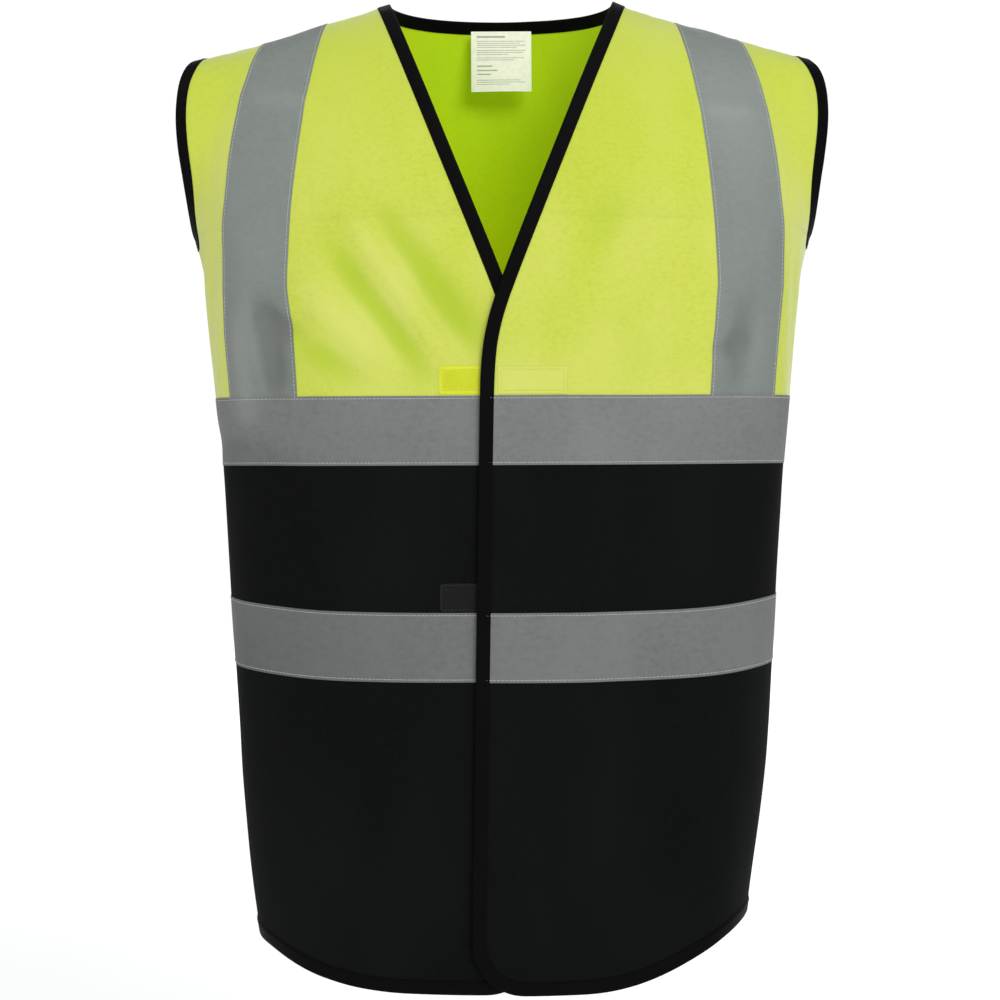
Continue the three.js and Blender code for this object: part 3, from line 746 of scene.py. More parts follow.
class Finish(Graph):
    """A material under construction, with its texture places ready to use."""

    def __init__(self, name):
        self.material = bpy.data.materials.new(name)
        self.material.use_nodes = True
        super().__init__(self.material.node_tree)
        self.tree.nodes.clear()
        cloth = self.node("ShaderNodeUVMap", {"uv_map": "UVMap"}).outputs["UV"]
        self.u, self.v, _ = self.split(cloth)
        self.body = self.node("ShaderNodeTexCoord").outputs["Object"]
        self.x, self.y, self.z = self.split(self.body)

    def split(self, vector):
        """A vector's x, y and z as numbers."""
        made = self.node("ShaderNodeSeparateXYZ", sockets={0: vector})
        return [Number(self, socket) for socket in made.outputs]

    def noise(self, scale, detail=2, stretch=(1, 1, 1), roughness=0.5):
        place = self.node("ShaderNodeMapping", sockets={"Vector": self.body, "Scale": stretch})
        made = self.node("ShaderNodeTexNoise", sockets={
            "Vector": place.outputs[0], "Scale": scale, "Detail": detail, "Roughness": roughness})
        return Number(self, made.outputs["Fac"])

    def mix(self, share, first, second):
        made = self.node("ShaderNodeMix", {"data_type": "RGBA"}, {0: share, 6: first, 7: second})
        return made.outputs[2]

    def inside_box(self, low, high, edge=0.7 * MM):
        """1 in front of a box in the object's coordinates, 0 outside it, with a soft edge."""
        mask = 1 - self.y.between(-edge, edge)
        for place, start, end in ((self.x, low[0], high[0]), (self.z, low[2], high[2])):
            mask = mask * place.between(start - edge, start + edge)
            mask = mask * (1 - place.between(end - edge, end + edge))
        return mask

    def painted_fold_shading(self, tone, ridge, ridge_share, hollow, hollow_share):
        """Painted highlight and painted shade: paler along the ridges of the folds and deeper in their
        hollows.
        """
        fold = Number(self, self.node("ShaderNodeAttribute", {"attribute_name": "fold"}).outputs["Fac"])
        tone = self.mix(fold.between(*FOLD_SPAN) * ridge_share, tone, ridge)
        return self.mix((0 - fold).between(*FOLD_SPAN) * hollow_share, tone, hollow)

    def bump(self, height, strength, distance, under=None):
        sockets = {"Height": height, "Strength": strength, "Distance": distance}
        if under is not None:
            sockets["Normal"] = under
        return self.node("ShaderNodeBump", sockets=sockets).outputs["Normal"]

    def done(self, **sockets):
        """The finished material, from a value or a socket for each name in SURFACE_SOCKETS."""
        named = {SURFACE_SOCKETS[key]: value for key, value in sockets.items()}
        surface_node = self.node("ShaderNodeBsdfPrincipled", sockets=named)
        self.node("ShaderNodeOutputMaterial", sockets={"Surface": surface_node.outputs[0]})
        return self.material


def knit_height(make, wale=0.95 * MM, course=0.8 * MM):
    """Upright wales of small loops, each row of loops set half a loop from the next."""
    wales = (make.u * (TURN / wale)).sine()
    courses = (make.v * (TURN / course) + wales * 1.4).sine()
    return wales * 0.55 + courses * 0.3 + make.noise(2600, 2) * 0.5


def cloth_finish(name, colour, light, dark, specular, sheen, glow=None, hollow=None, backing=None):
    """Knitted cloth. `backing` is the box of a patch sewn behind it, which shows through faintly."""
    make = Finish(name)
    knit = knit_height(make)
    mottle = make.noise(240, 4, (1, 1, 1.6), roughness=0.68)
    broad = make.noise(10, 2, (1, 1, 0.5))
    tone = make.mix(mottle.between(0.25, 0.6), dark, colour)
    tone = make.mix(broad.between(0.35, 0.7) * 0.75, tone, light)
    tone = make.mix(knit.between(-0.6, 0.9) * 0.14, tone, dark)
    # Painted shade: the colour darkens towards the top of the vest, near the shoulders.
    tone = make.mix(make.z.between(-0.17, -0.03) * 0.5, tone, dark)
    # Painted highlight on the fold ridges and painted shade in the fold hollows.
    tone = make.painted_fold_shading(tone, light, 0.5, hollow or dark, 0.8)
    creases = make.bump(make.noise(210, 3, (1, 1, 0.55)), 0.2, 0.9 * MM)
    if backing is not None:
        patch = make.inside_box(*backing)
        tone = make.mix(patch * 0.35, tone, light)
        creases = make.bump(patch, 0.8, 0.7 * MM, creases)
    normal = make.bump(knit, 0.55, 0.11 * MM, creases)
    # Painted light: the glow brightens the cloth whatever light falls on it.
    painted_glow = dict(glow=glow[0], glow_strength=glow[1]) if glow else {}
    return make.done(colour=tone, roughness=0.86 + mottle * 0.1, normal=normal, specular=specular,
                     sheen=sheen, sheen_roughness=0.5, **painted_glow)


def tape_finish():
    """Retroreflective tape: a fine woven ground under a coat of glass beads."""
    make = Finish("reflective_tape")
    warp = (make.u * (TURN / (0.62 * MM))).sine()
    weft = (make.v * (TURN / (0.62 * MM))).sine()
    weave = warp * weft
    beads = make.noise(5200, 1)
    cloudy = make.noise(190, 4, (1, 1, 1.5), roughness=0.7)
    broad = make.noise(14, 2, (1, 1, 0.6))
    # Painted shade: the tape is darker low down, more so towards negative x, standing in for less light
    # falling there.
    painted_shade_share = 0.30 + (1 - make.x.between(-0.22, 0.06)) * 0.34
    tone = make.mix(cloudy.between(0.2, 0.65), (0.144, 0.151, 0.147, 1), (0.190, 0.198, 0.193, 1))
    tone = make.mix(broad.between(0.35, 0.75) * 0.5, tone, (0.242, 0.251, 0.244, 1))
    tone = make.mix(beads.between(0.45, 0.8) * 0.3, tone, (0.34, 0.35, 0.345, 1))
    # Painted shade towards the bottom of the tape.
    tone = make.mix((1 - make.z.between(-0.52, -0.16)) * painted_shade_share, tone, (0.070, 0.073, 0.072, 1))
    # Painted reflection: a green tint on the braces, above the upper band, for light thrown back from the
    # yellow cloth.
    tone = make.mix(make.z.between(-0.302, -0.298) * 0.3, tone, (0.225, 0.280, 0.225, 1))
    # Painted highlight on the tape's fold ridges and painted shade in its fold hollows.
    tone = make.painted_fold_shading(tone, (0.290, 0.300, 0.292, 1), 0.35, (0.080, 0.085, 0.082, 1), 0.4)
    wrinkles = make.bump(make.noise(90, 3, (1, 1, 0.5)), 0.45, 1.6 * MM)
    normal = make.bump(weave * 0.5 + beads * 0.6, 0.35, 0.09 * MM, wrinkles)
    return make.done(colour=tone, roughness=0.70 - beads * 0.1, normal=normal, metallic=0.15,
                     specular=0.3)


def binding_finish():
    """Black tape of ribbed weave, a little glossy where the fold catches the light."""
    make = Finish("black_binding")
    ribs = (make.u * (TURN / (1.05 * MM)) + make.v * (TURN / (2.1 * MM))).sine()
    threads = (make.v * (TURN / (0.55 * MM))).sine()
    fuzz = make.noise(1700, 2)
    tone = make.mix(fuzz.between(0.35, 0.75), (0.0010, 0.0010, 0.0013, 1), (0.0032, 0.0032, 0.0036, 1))
    ripple = make.bump(make.noise(260, 2), 0.22, 0.9 * MM)
    normal = make.bump(ribs * 0.5 + threads * 0.25 + fuzz * 0.3, 0.5, 0.11 * MM, ripple)
    return make.done(colour=tone, roughness=0.5 + fuzz * 0.15, normal=normal, specular=0.045)


def fastener_finish(name, dark, light):
    """Hook-and-loop tape: a felt of fine loops."""
    make = Finish(name)
    felt = make.noise(1500, 4, roughness=0.7)
    tufts = make.noise(520, 2)
    tone = make.mix(felt.between(0.3, 0.7), dark, light)
    normal = make.bump(felt + tufts * 0.8, 0.9, 0.35 * MM)
    return make.done(colour=tone, roughness=0.93, normal=normal, specular=0.12, sheen=0.12)


def thread_finish(name, dark, light, specular=0.3, sheen=0.1):
    """Twisted thread: slanting plies along each stitch."""
    make = Finish(name)
    plies = make.noise(2300, 2, (1, 1, 0.4))
    tone = make.mix(plies.between(0.3, 0.7), dark, light)
    normal = make.bump(plies, 0.6, 0.12 * MM)
    return make.done(colour=tone, roughness=0.6 + plies * 0.15, normal=normal, specular=specular,
                     sheen=sheen)


LABEL_SIZE = (47 * MM, 47 * MM)
LABEL_MARGIN = 4.5 * MM
RULE_EDGE = 0.2 * MM
# Rules on the label: how far down each is, its length and its thickness, in millimetres.
LABEL_RULES = [
    (4.2, 22, 1.5), (7.6, 37, 0.5), (9.2, 34, 0.5), (10.8, 38, 0.5), (12.4, 31, 0.5), (14.8, 38, 0.5),
    (16.4, 36, 0.5), (18.0, 24, 0.5), (20.6, 37, 0.5), (22.2, 29, 0.5), (27.0, 12, 1.1), (30.4, 16, 0.9),
    (33.4, 11, 0.9), (38.0, 34, 0.5), (39.6, 38, 0.5), (41.2, 26, 0.5),
]


def label_finish():
    """White satin with plain grey rules where a maker's print would be."""
    make = Finish("label_cloth")
    satin = (make.u * (TURN / (0.4 * MM))).sine() * (make.v * (TURN / (0.7 * MM))).sine()
    paper = make.noise(300, 3)
    tone = make.mix(paper.between(0.3, 0.7), (0.88, 0.88, 0.72, 1), (0.95, 0.95, 0.80, 1))
    for down, long, thick in LABEL_RULES:
        height = LABEL_SIZE[1] - down * MM
        end = LABEL_MARGIN + long * MM
        line = 1 - (make.v - height).size().between(thick * 0.35 * MM, thick * 0.6 * MM)
        after = make.u.between(LABEL_MARGIN - RULE_EDGE, LABEL_MARGIN + RULE_EDGE)
        before = 1 - make.u.between(end - RULE_EDGE, end + RULE_EDGE)
        tone = make.mix(line * after * before * 0.75, tone, (0.22, 0.22, 0.22, 1))
    normal = make.bump(satin * 0.4 + paper, 0.25, 0.1 * MM)
    # Painted light: a faint glow of the label's own tone lifts its white.
    return make.done(colour=tone, roughness=0.5 + paper * 0.1, normal=normal, specular=0.3, sheen=0.08,
                     glow=tone, glow_strength=0.07)


# glow is painted light, an emission standing in for the real fluorescence of the yellow cloth. light is also
# the painted highlight on fold ridges, and hollow the painted shade in fold hollows.
YELLOW_CLOTH = dict(
    colour=(0.500, 0.560, 0.060, 1), light=(0.60, 0.63, 0.150, 1), dark=(0.42, 0.505, 0.024, 1),
    hollow=(0.355, 0.475, 0.012, 1), specular=0.3, sheen=0.42, glow=((0.40, 0.50, 0.01, 1), 0.08),
)
yellow_cloth = cloth_finish("yellow_cloth", **YELLOW_CLOTH)
yellow_over_patch = cloth_finish("yellow_cloth_over_patch", backing=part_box("upper_loop_patch"),
                                 **YELLOW_CLOTH)
# The inner face glows more strongly: painted light that brightens it beyond its fluorescence.
yellow_inside = cloth_finish("yellow_cloth_inside", (0.50, 0.66, 0.003, 1), (0.66, 0.71, 0.003, 1),
                             (0.40, 0.62, 0.02, 1), 0.05, 0.03, ((0.36, 0.52, 0.0, 1), 0.22))
black_cloth = cloth_finish("black_cloth", (0.0042, 0.0050, 0.0045, 1), (0.0060, 0.0070, 0.0064, 1),
                           (0.0026, 0.0031, 0.0028, 1), 0.05, 0.010)
reflective_tape = tape_finish()
black_binding = binding_finish()
yellow_fastener = fastener_finish("yellow_fastener", (0.60, 0.66, 0.022, 1), (0.70, 0.74, 0.05, 1))
black_fastener = fastener_finish("black_fastener", (0.006, 0.006, 0.006, 1), (0.017, 0.016, 0.016, 1))
label_cloth = label_finish()
grey_thread = thread_finish("grey_thread", (0.34, 0.35, 0.345, 1), (0.62, 0.63, 0.62, 1))
black_thread = thread_finish("black_thread", (0.0015, 0.0015, 0.0018, 1), (0.006, 0.006, 0.0065, 1),
                             specular=0.06, sheen=0.0)
yellow_thread = thread_finish("yellow_thread", (0.46, 0.56, 0.03, 1), (0.62, 0.68, 0.09, 1))


# ---------------------------------------------------------------- stitches and hooks
STITCH_PITCH, STITCH_LENGTH, THREAD_RADIUS = 2.8 * MM, 2.1 * MM, 0.2 * MM


def new_tree(name, inputs):
    """A node tree that takes some geometry and these inputs and gives geometry.

    Each input is a name, a kind of socket and what it starts as. Returns its graph and its sockets.
    """
    tree = bpy.data.node_groups.new(name, "GeometryNodeTree")
    ids = {}
    for label, kind, value in [("Points", "Geometry", None), *inputs]:
        socket = tree.interface.new_socket(name=label, in_out="INPUT", socket_type=f"NodeSocket{kind}")
        if value is not None:
            socket.default_value = value
        ids[label] = socket.identifier
    tree.interface.new_socket(name="Made", in_out="OUTPUT", socket_type="NodeSocketGeometry")
    return Graph(tree), ids


def bent_tube(graph, bend, ring_steps, radius):
    """A capped tube along a small arch. `bend` is its start, middle and end as (along, up)."""
    spots = [graph.node("ShaderNodeCombineXYZ", sockets={0: along, 2: up}).outputs[0] for along, up in bend]
    arch = graph.node("GeometryNodeCurveQuadraticBezier", sockets={
        "Resolution": 4, "Start": spots[0], "Middle": spots[1], "End": spots[2]})
    ring = graph.node("GeometryNodeCurvePrimitiveCircle", sockets={
        "Resolution": ring_steps, "Radius": radius})
    return graph.node("GeometryNodeCurveToMesh", sockets={
        "Curve": arch.outputs[0], "Profile Curve": ring.outputs[0], "Fill Caps": True}).outputs[0]


def upright_turn(graph):
    """The rotation that stands a shape up along the `lift` that the points carry."""
    lift = graph.node("GeometryNodeInputNamedAttribute", {"data_type": "FLOAT_VECTOR"}, {"Name": "lift"})
    turn = graph.node("FunctionNodeAlignRotationToVector", {"axis": "Z"}, {"Vector": lift.outputs[0]})
    return turn.outputs[0]


def scattered(graph, points, shape, turn, sway, seed):
    """The shape on every point, each one turned by up to `sway` at random, as real geometry."""
    limits = {0: tuple(-angle for angle in sway), 1: sway, "Seed": seed}
    drawn = graph.node("FunctionNodeRandomValue", {"data_type": "FLOAT_VECTOR"}, limits)
    swayed = graph.node("FunctionNodeRotateRotation", {"rotation_space": "LOCAL"},
                        {"Rotation": turn, "Rotate By": drawn.outputs[0]})
    placed = graph.node("GeometryNodeInstanceOnPoints", sockets={
        "Points": points, "Instance": shape, "Rotation": swayed.outputs[0]})
    return graph.node("GeometryNodeRealizeInstances", sockets={0: placed.outputs[0]}).outputs[0]


def give(graph, geometry, material):
    """Ends a tree: its result is the geometry in this material."""
    coated = graph.node("GeometryNodeSetMaterial", sockets={0: geometry, "Material": material})
    graph.node("NodeGroupOutput", sockets={0: coated.outputs[0]})


def stitch_tree():
    """Lays one thread stitch at each step along lines that carry the way up as `lift`."""
    graph, ids = new_tree("stitches_on_lines", [
        ("Pitch", "Float", STITCH_PITCH), ("Stitch Length", "Float", STITCH_LENGTH),
        ("Thread Radius", "Float", THREAD_RADIUS), ("Seed", "Int", 4), ("Thread", "Material", None)])
    given = graph.node("NodeGroupInput").outputs
    length, radius = (Number(graph, given[k]) for k in ("Stitch Length", "Thread Radius"))
    curves = graph.node("GeometryNodeMeshToCurve", sockets={"Mesh": given["Points"]})
    spaced = graph.node("GeometryNodeResampleCurve", {"mode": "LENGTH"},
                        {"Curve": curves.outputs[0], "Length": given["Pitch"]})
    bend = [(length * share, radius * rise) for share, rise in ((-0.5, -1.1), (0.0, 1.5), (0.5, -1.1))]
    stitch = bent_tube(graph, bend, 5, radius)
    along = graph.node("GeometryNodeInputTangent")
    turned = graph.node("FunctionNodeAlignRotationToVector", {"axis": "X", "pivot_axis": "Z"},
                        {"Rotation": upright_turn(graph), "Vector": along.outputs[0]})
    real = scattered(graph, spaced.outputs[0], stitch, turned.outputs[0], (0.05, 0.05, 0.09), given["Seed"])
    smooth = graph.node("GeometryNodeSetShadeSmooth", sockets={0: real})
    give(graph, smooth.outputs[0], given["Thread"])
    return graph.tree, ids


def hook_tree():
    """Stands a small bent hook on each point of a grid."""
    graph, ids = new_tree("hooks_on_grid", [
        ("Hook Height", "Float", 0.9 * MM), ("Hook Radius", "Float", 0.12 * MM), ("Seed", "Int", 11),
        ("Fibre", "Material", None)])
    given = graph.node("NodeGroupInput").outputs
    height = Number(graph, given["Hook Height"])
    bend = [(height * side, height * rise) for side, rise in ((0.0, 0.0), (0.05, 1.7), (0.55, 0.35))]
    hook = bent_tube(graph, bend, 3, given["Hook Radius"])
    real = scattered(graph, given["Points"], hook, upright_turn(graph), (0.2, 0.2, 3.1), given["Seed"])
    give(graph, real, given["Fibre"])
    return graph.tree, ids


def grown(name, source, tree, ids, values):
    """The result of a node tree on a source mesh, as a plain mesh object."""
    carrier = linked(name + "_source", source)
    modifier = carrier.modifiers.new("nodes", "NODES")
    modifier.node_group = tree
    for key, value in values.items():
        modifier[ids[key]] = value
    bpy.context.view_layer.update()
    graph = bpy.context.evaluated_depsgraph_get()
    mesh = bpy.data.meshes.new_from_object(carrier.evaluated_get(graph), depsgraph=graph)
    mesh.name = name
    bpy.data.objects.remove(carrier)
    return linked(name, mesh)


def lifted_mesh(name, places, edges, lifts):
    """A mesh of points and loose edges that carries the way up at each point as `lift`."""
    mesh = bpy.data.meshes.new(name)
    mesh.from_pydata([tuple(p) for p in places], edges, [])
    lift = mesh.attributes.new("lift", "FLOAT_VECTOR", "POINT")
    lift.data.foreach_set("vector", np.array(lifts, dtype=np.float32).ravel())
    return mesh


TAPE_FACES = (0.04 * MM, 0.04 * MM + TAPE_THICK)
STITCH_INSET = 1.9 * MM
STITCH_HEIGHT = TAPE_FACES[1] + 0.12 * MM
stitches, stitch_ids = stitch_tree()
hooks, hook_ids = hook_tree()


def stitch_piece(name, lines, thread, pitch=STITCH_PITCH, length=STITCH_LENGTH, radius=THREAD_RADIUS):
    """Stitches along lines, each given as its places and its ways up."""
    starts = np.cumsum([0] + [len(place) for place, _ in lines])
    edges = [(k, k + 1) for first, after in zip(starts, starts[1:]) for k in range(first, after - 1)]
    places, lifts = (np.concatenate(fields) for fields in zip(*lines))
    return grown(name, lifted_mesh(name, places, edges, lifts), stitches, stitch_ids,
                 {"Pitch": pitch, "Stitch Length": length, "Thread Radius": radius, "Thread": thread})


def inset_line(start, beyond, normal):
    """A stitch line set in from `start` on the way to `beyond`, raised off the tape."""
    step = beyond - start
    step = step / np.linalg.norm(step, axis=1, keepdims=True)
    return start + step * STITCH_INSET + normal * STITCH_HEIGHT, normal


def row_line(panel, row, toward, columns):
    span = slice(columns[0], columns[1] + 1)
    return inset_line(panel.place[row, span], panel.place[toward, span], panel.normal[row, span])


def column_line(panel, column, toward, rows):
    span = slice(rows[0], rows[1] + 1)
    return inset_line(panel.place[span, column], panel.place[span, toward], panel.normal[span, column])


# ---------------------------------------------------------------- the vest
drape = Drape()
front = Panel("front", FRONT_STRETCHES)
back = Panel("back", BACK_STRETCHES).doubled()
right_front = drape_panel(front.mirrored(), drape)
left_front = drape_panel(front, drape, CLOSURE_STEP)
back = drape_panel(back, drape)
join_side(left_front.place, back.place, back.row(UNDERARM_ROW))
join_side(right_front.place, back.place[:, ::-1], back.row(UNDERARM_ROW))
for panel in (left_front, right_front, back):
    panel.finish()
round_corner(right_front.place, -1)
round_corner(left_front.place, 1)


def finish_piece(piece, body, replaced=()):
    """Rides on its body; a piece of a front gets no body and has its transform baked into its mesh."""
    if body in ("left_front", "right_front"):
        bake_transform(piece)
    else:
        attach(piece, body)
    if replaced:
        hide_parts(*replaced)


def make_panels(body, panel):
    last = panel.place.shape[1] - 1
    seam, top = panel.row(SEAM_ROW), panel.row(TOP_ROW)
    thick = (-CLOTH_THICK, 0)
    skirt = sheet_piece(f"{body}_skirt_cloth", panel, (0, seam), (0, last), thick, black_cloth)
    yellow = yellow_over_patch if body == "left_front" else yellow_cloth
    yoke = sheet_piece(f"{body}_yoke_cloth", panel, (seam, top), (0, last), thick, yellow, yellow_inside)
    finish_piece(skirt, body, [f"{body}_skirt"])
    finish_piece(yoke, body, [f"{body}_yoke"])
    return yoke, skirt


def make_bands(body, panel, columns):
    """The two bands round the body. Returns their stitch lines."""
    lines = []
    for level, *rows in (("upper", UPPER_BAND, UPPER_BAND_TOP), ("lower", LOWER_BAND, LOWER_BAND + 1)):
        low, high = (panel.row(row) for row in rows)
        name = f"{body}_{level}_band"
        band = sheet_piece(name + "_tape", panel, (low, high), columns, TAPE_FACES, reflective_tape)
        finish_piece(band, body, [name])
        lines += [row_line(panel, low, low + 2, columns), row_line(panel, high, high - 2, columns)]
    return lines


def make_brace(node, body, panel, columns):
    """A brace, from the upper band to the shoulder seam. Returns its stitch lines."""
    rows = (panel.row(UPPER_BAND_TOP), panel.row(TOP_ROW))
    brace = sheet_piece(node + "_tape", panel, rows, columns, TAPE_FACES, reflective_tape)
    finish_piece(brace, body, [node])
    low, high = columns
    return [column_line(panel, low, low + 2, rows), column_line(panel, high, high - 2, rows)]


def make_binding(name, node, body, panel, tree, nodes, width=BINDING_WIDTH):
    """A binding along these nodes of the panel. Returns its stitch line."""
    path = edge_path(panel, nodes)
    piece = binding_piece(name, tree, path, black_binding, width)
    finish_piece(piece, body, [node])
    seam = leaf_places(tree, path, [width - BINDING_SEAM])[:, 0]
    return seam + path[1] * (BINDING_LEAF + THREAD_RISE), path[1]


def edge_nodes(rows, columns):
    return [(int(r), int(c)) for r, c in zip(*np.broadcast_arrays(rows, columns))]


def sew(body, tape_lines, binding_lines):
    """A panel's two kinds of stitching: grey along the tapes, black along the bindings."""
    finish_piece(stitch_piece(f"{body}_tape_stitching", tape_lines, grey_thread), body)
    finish_piece(stitch_piece(f"{body}_binding_stitching", binding_lines, black_thread), body)


def make_front(body, panel):
    tree = surface_tree(panel)
    yoke, skirt = make_panels(body, panel)
    last = panel.place.shape[1] - 1
    marks = panel.marks.tolist()
    lines = make_bands(body, panel, (0, marks[4] + 1))
    lines += make_brace(f"{body}_brace", body, panel, (marks[2], marks[3]))
    top = panel.row(TOP_ROW)
    round_the_corner = edge_nodes(np.arange(top, -1, -1), last) + edge_nodes(0, np.arange(last - 1, -1, -1))
    armhole = edge_nodes(np.arange(panel.row(UNDERARM_ROW), top + 1), 0)
    edge = make_binding(f"{body}_edge_binding", f"{body}_binding", body, panel, tree, round_the_corner)
    arm = make_binding(f"{body}_armhole_tape", f"{body}_armhole_binding", body, panel, tree, armhole,
                       ARM_BINDING_WIDTH)
    sew(body, lines, [edge, arm])
    return tree


def make_back(panel):
    tree = surface_tree(panel)
    yoke, skirt = make_panels("back", panel)
    last = panel.place.shape[1] - 1
    marks = panel.marks.tolist()
    lines = make_bands("back", panel, (0, last))
    lines += make_brace("back_left_brace", "back", panel, (marks[2], marks[3]))
    lines += make_brace("back_right_brace", "back", panel, (last - marks[3], last - marks[2]))
    top = panel.row(TOP_ROW)
    up = np.arange(panel.row(UNDERARM_ROW), top + 1)
    seams = [
        make_binding(f"back_{part}_tape", f"back_{part}_binding", "back", panel, tree, nodes, width)
        for part, nodes, width in (
            ("left_armhole", edge_nodes(up, 0), ARM_BINDING_WIDTH),
            ("right_armhole", edge_nodes(up, last), ARM_BINDING_WIDTH),
            ("hem", edge_nodes(0, np.arange(last + 1)), BINDING_WIDTH),
            ("neck", edge_nodes(top, np.arange(marks[4], last - marks[4] + 1)), BINDING_WIDTH))]
    sew("back", lines, seams)


right_tree = make_front("right_front", right_front)
left_tree = make_front("left_front", left_front)
make_back(back)

# ---------------------------------------------------------------- hook-and-loop patches
PATCH_SIZE = (50 * MM, 20 * MM)
PATCH_CORNER = 2.2 * MM
PATCH_ROWS, PATCH_COLUMNS = 17, 41
PATCH_SEAM_CELLS = 2
PATCH_RIM_SHARE = 0.55
RAY_START_Y = -0.3
OUTER_PATCH = (0.03 * MM, 0.75 * MM)
INNER_PATCH = (-CLOTH_THICK - 1.3 * MM, -CLOTH_THICK - 0.03 * MM)
HOOK_PITCH = 1.15 * MM
HOOK_ROOT = 0.7 * MM
HOOK_MARGIN = (2.8, 3.8)
HOOK_SHARES = (0.88, 0.7)


def patch_spots(low, high):
    """A patch's grid of (x, z), with its corners drawn in to arcs, and its texture places."""
    x = np.linspace(low[0], high[0], PATCH_COLUMNS)
    z = np.linspace(high[2] - PATCH_SIZE[1], high[2], PATCH_ROWS)
    grid = np.stack(np.meshgrid(x, z), -1)
    centre = grid.mean(axis=(0, 1))
    reach = np.array([x[-1] - x[0], PATCH_SIZE[1]]) / 2 - PATCH_CORNER
    off = grid - centre
    over = np.clip(np.abs(off) - reach, 0, None)
    square = over.max(axis=-1)
    shrink = np.where(square > 0, square / np.maximum(np.linalg.norm(over, axis=-1), TINY), 1)
    rounded = centre + np.sign(off) * (np.minimum(np.abs(off), reach) + over * shrink[..., None])
    return rounded, grid - grid[0, 0]


def patch_piece(node, body, tree, depth, material, thread, outside):
    """A patch on the cloth round the CAD node's place, with its row of stitches.

    `depth` is how far its two faces are off the cloth, and `outside` the height of the stitches.
    """
    spots, uv = patch_spots(*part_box(node))
    place = np.array([[tree.ray_cast(Vector((x, RAY_START_Y, z)), Vector((0, 1, 0)))[0] for x, z in line]
                      for line in spots])
    normal = normals_of(place, np.array([0, -1, 0]))
    floor, top = depth
    crown = np.full((PATCH_ROWS, PATCH_COLUMNS, 1), PATCH_RIM_SHARE)
    crown[1:-1, 1:-1] = 1.0
    name = node.replace("_patch", "_pad")
    outer = place + normal * (floor + (top - floor) * crown)
    piece = closed_sheet(name, outer, place + normal * floor, uv, material)
    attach(piece, body)
    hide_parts(node)
    inner = slice(PATCH_SEAM_CELLS, -PATCH_SEAM_CELLS)
    loop = rim(PATCH_ROWS - 2 * PATCH_SEAM_CELLS, PATCH_COLUMNS - 2 * PATCH_SEAM_CELLS)
    ground, lift = (field[inner, inner].reshape(-1, 3)[[*loop, loop[0]]] for field in (place, normal))
    seam = stitch_piece(name + "_stitching", [(ground + lift * (outside + THREAD_RISE), lift)], thread,
                        pitch=2.4 * MM, length=1.8 * MM, radius=0.17 * MM)
    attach(seam, body)
    return place, normal


def hook_field(name, body, place, normal, material):
    """Rows of hooks over a patch, inside its stitching."""
    along, up = (np.linspace(HOOK_MARGIN[0], cells - HOOK_MARGIN[1], round(length * share / HOOK_PITCH))
                 for cells, length, share in zip((PATCH_COLUMNS, PATCH_ROWS), PATCH_SIZE, HOOK_SHARES))
    spots = []
    lifts = []
    for r in up:
        for c in along:
            r0, c0 = int(r), int(c)
            a, b = r - r0, c - c0
            weights = [(1 - a) * (1 - b), (1 - a) * b, a * (1 - b), a * b]
            near = [(r0, c0), (r0, c0 + 1), (r0 + 1, c0), (r0 + 1, c0 + 1)]
            spots.append(sum(w * (place[k] + normal[k] * HOOK_ROOT) for w, k in zip(weights, near)))
            lifts.append(normal[r0, c0])
    piece = grown(name, lifted_mesh(name, spots, [], lifts), hooks, hook_ids, {"Fibre": material})
    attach(piece, body)


for level, material, slot, thread in (("upper", yellow_fastener, "yellow_fastener", yellow_thread),
                                      ("lower", black_fastener, "black_fastener", black_thread)):
    place, normal = patch_piece(f"{level}_hook_patch", "right_front", right_tree, OUTER_PATCH,
                                material, thread, OUTER_PATCH[1])
    hook_field(f"{level}_hooks", "right_front", place, normal, material)
    patch_piece(f"{level}_loop_patch", "left_front", left_tree, INNER_PATCH, material, thread, 0.0)


# ---------------------------------------------------------------- care label
LABEL_CELLS = 32
LABEL_THICK = 0.18 * MM


def make_label():
    """The label hangs from its top edge, curling a little towards its lower corners."""
    low, high = (np.array(c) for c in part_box("care_label"))
    s, t = np.meshgrid(*[np.linspace(0, 1, LABEL_CELLS + 1)] * 2)
    x = low[0] + (high[0] - low[0]) * s
    z = low[2] + (high[2] - low[2]) * t
    curl = 2.2 * (2 * s - 1) ** 2 - 1.2 + 0.8 * np.sin(5 * s + 1)
    y = (low[1] + high[1]) / 2 + (1 - t) ** 2 * curl * MM
    place = np.stack([x, y, z], -1)
    half = normals_of(place, np.array([0, -1, 0])) * LABEL_THICK / 2
    uv = np.stack([s * LABEL_SIZE[0], t * LABEL_SIZE[1]], -1)
    label = closed_sheet("care_label_cloth", place + half, place - half, uv, label_cloth)
    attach(label, "label")
    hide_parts("care_label")


make_label()

# ---------------------------------------------------------------- stage, light and camera
FLOOR_Z = -0.98
FLOOR_RADIUS, FLOOR_SIDES = 6.0, 96
CAMERA_DISTANCE = 2.0
CAMERA_HEIGHT = -0.3187
CAMERA_SIDE = -0.0024
LENS = 94.9
LENS_SHIFT = -0.08
CAMERA_ROLL = 0.005
# Each light's name, place, target, size in metres and watts.
LIGHTS = [
    ("key", (0.85, -1.8, 0.95), (0, 0, -0.3), (1.2, 0.9), 30),
    ("fill", (-1.9, -1.1, 0.2), (0, 0, -0.3), (1.2, 1.2), 9),
    ("top", (0, -0.1, 1.6), (0, 0, 0), (1.6, 1.0), 8),
    ("rear", (0.2, 2.2, 0.7), (0, 0, -0.3), (1.8, 1.4), 16),
]


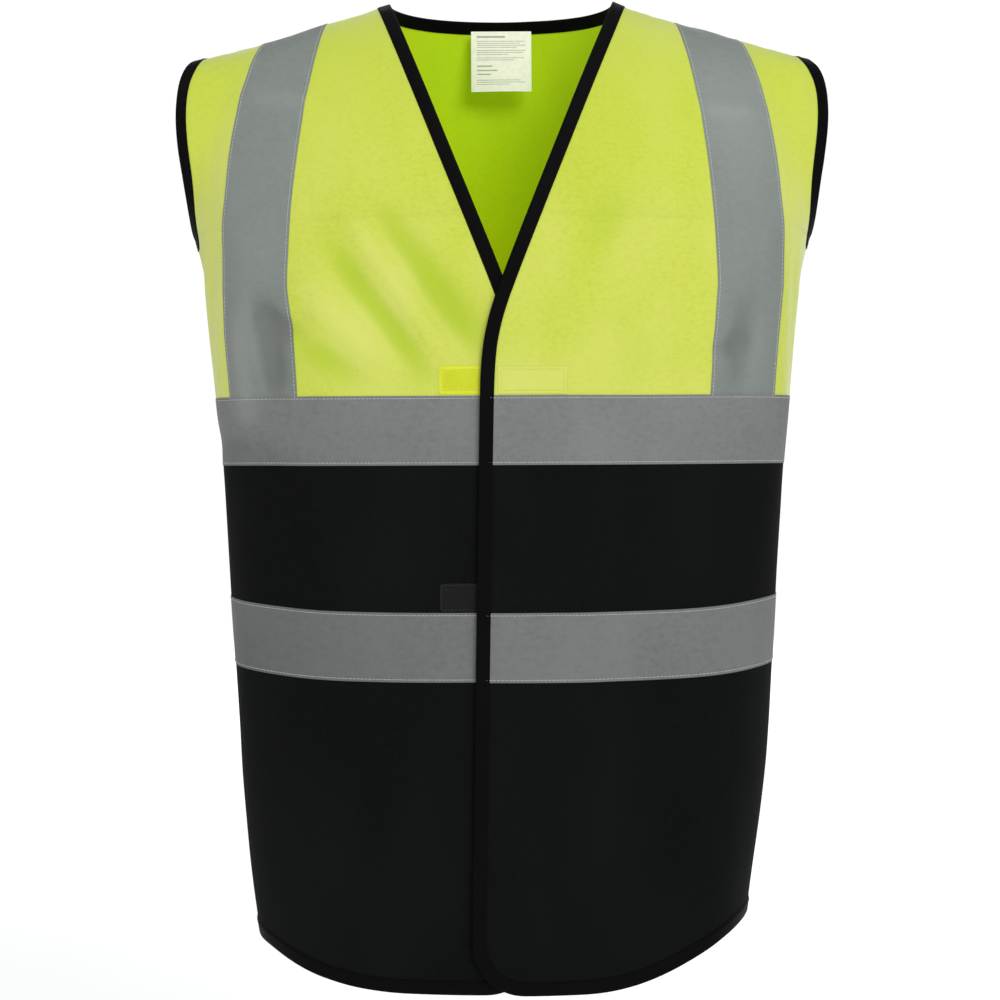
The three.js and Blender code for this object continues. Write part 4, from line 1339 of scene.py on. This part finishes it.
def make_stage():
    """A pale floor that runs out into a white surround."""
    mesh = bpy.data.meshes.new("floor")
    angles = [TURN * k / FLOOR_SIDES for k in range(FLOOR_SIDES)]
    ring = [(FLOOR_RADIUS * math.cos(angle), FLOOR_RADIUS * math.sin(angle), FLOOR_Z) for angle in angles]
    mesh.from_pydata(ring, [], [tuple(range(FLOOR_SIDES))])
    make = Finish("pale_floor")
    grain = make.noise(40, 3)
    away = make.node("ShaderNodeVectorMath", {"operation": "LENGTH"}, {0: make.body})
    far = Number(make, away.outputs["Value"]).between(1.6, 4.5)
    tone = make.mix(grain, (0.86, 0.86, 0.86, 1), (0.88, 0.88, 0.88, 1))
    glow = make.mix(far, (0.42, 0.42, 0.42, 1), (1.0, 1.0, 1.0, 1))
    mesh.materials.append(make.done(colour=tone, roughness=0.9, specular=0.05, glow=glow, glow_strength=1.0))
    linked("floor", mesh)


def make_world():
    world = bpy.data.worlds.new("surround")
    bpy.context.scene.world = world
    world.use_nodes = True
    world.node_tree.nodes.clear()
    graph = Graph(world.node_tree)
    seen = graph.node("ShaderNodeLightPath").outputs["Is Camera Ray"]
    lit = graph.node("ShaderNodeBackground", sockets={"Color": (0.95, 0.97, 1.0, 1), "Strength": 0.32})
    white = graph.node("ShaderNodeBackground", sockets={"Color": (1, 1, 1, 1), "Strength": 1.02})
    either = graph.node("ShaderNodeMixShader", sockets={0: seen, 1: lit.outputs[0], 2: white.outputs[0]})
    graph.node("ShaderNodeOutputWorld", sockets={"Surface": either.outputs[0]})


def area_light(name, place, target, size, watts):
    light = bpy.data.lights.new(name, "AREA")
    light.shape = "RECTANGLE"
    light.size, light.size_y = size
    light.energy = watts
    lamp = linked(name, light)
    lamp.location = place
    lamp.rotation_euler = (Vector(target) - Vector(place)).to_track_quat("-Z", "Y").to_euler()


def make_camera():
    data = bpy.data.cameras.new("camera")
    data.lens = LENS
    data.sensor_width = 36
    data.shift_y = LENS_SHIFT
    camera = linked("camera", data)
    camera.location = (CAMERA_SIDE, -CAMERA_DISTANCE, CAMERA_HEIGHT)
    camera.rotation_euler = (math.pi / 2, CAMERA_ROLL, 0)
    bpy.context.scene.camera = camera


make_stage()
make_world()
for light in LIGHTS:
    area_light(*light)
make_camera()
bpy.context.scene.view_settings.view_transform = "Standard"
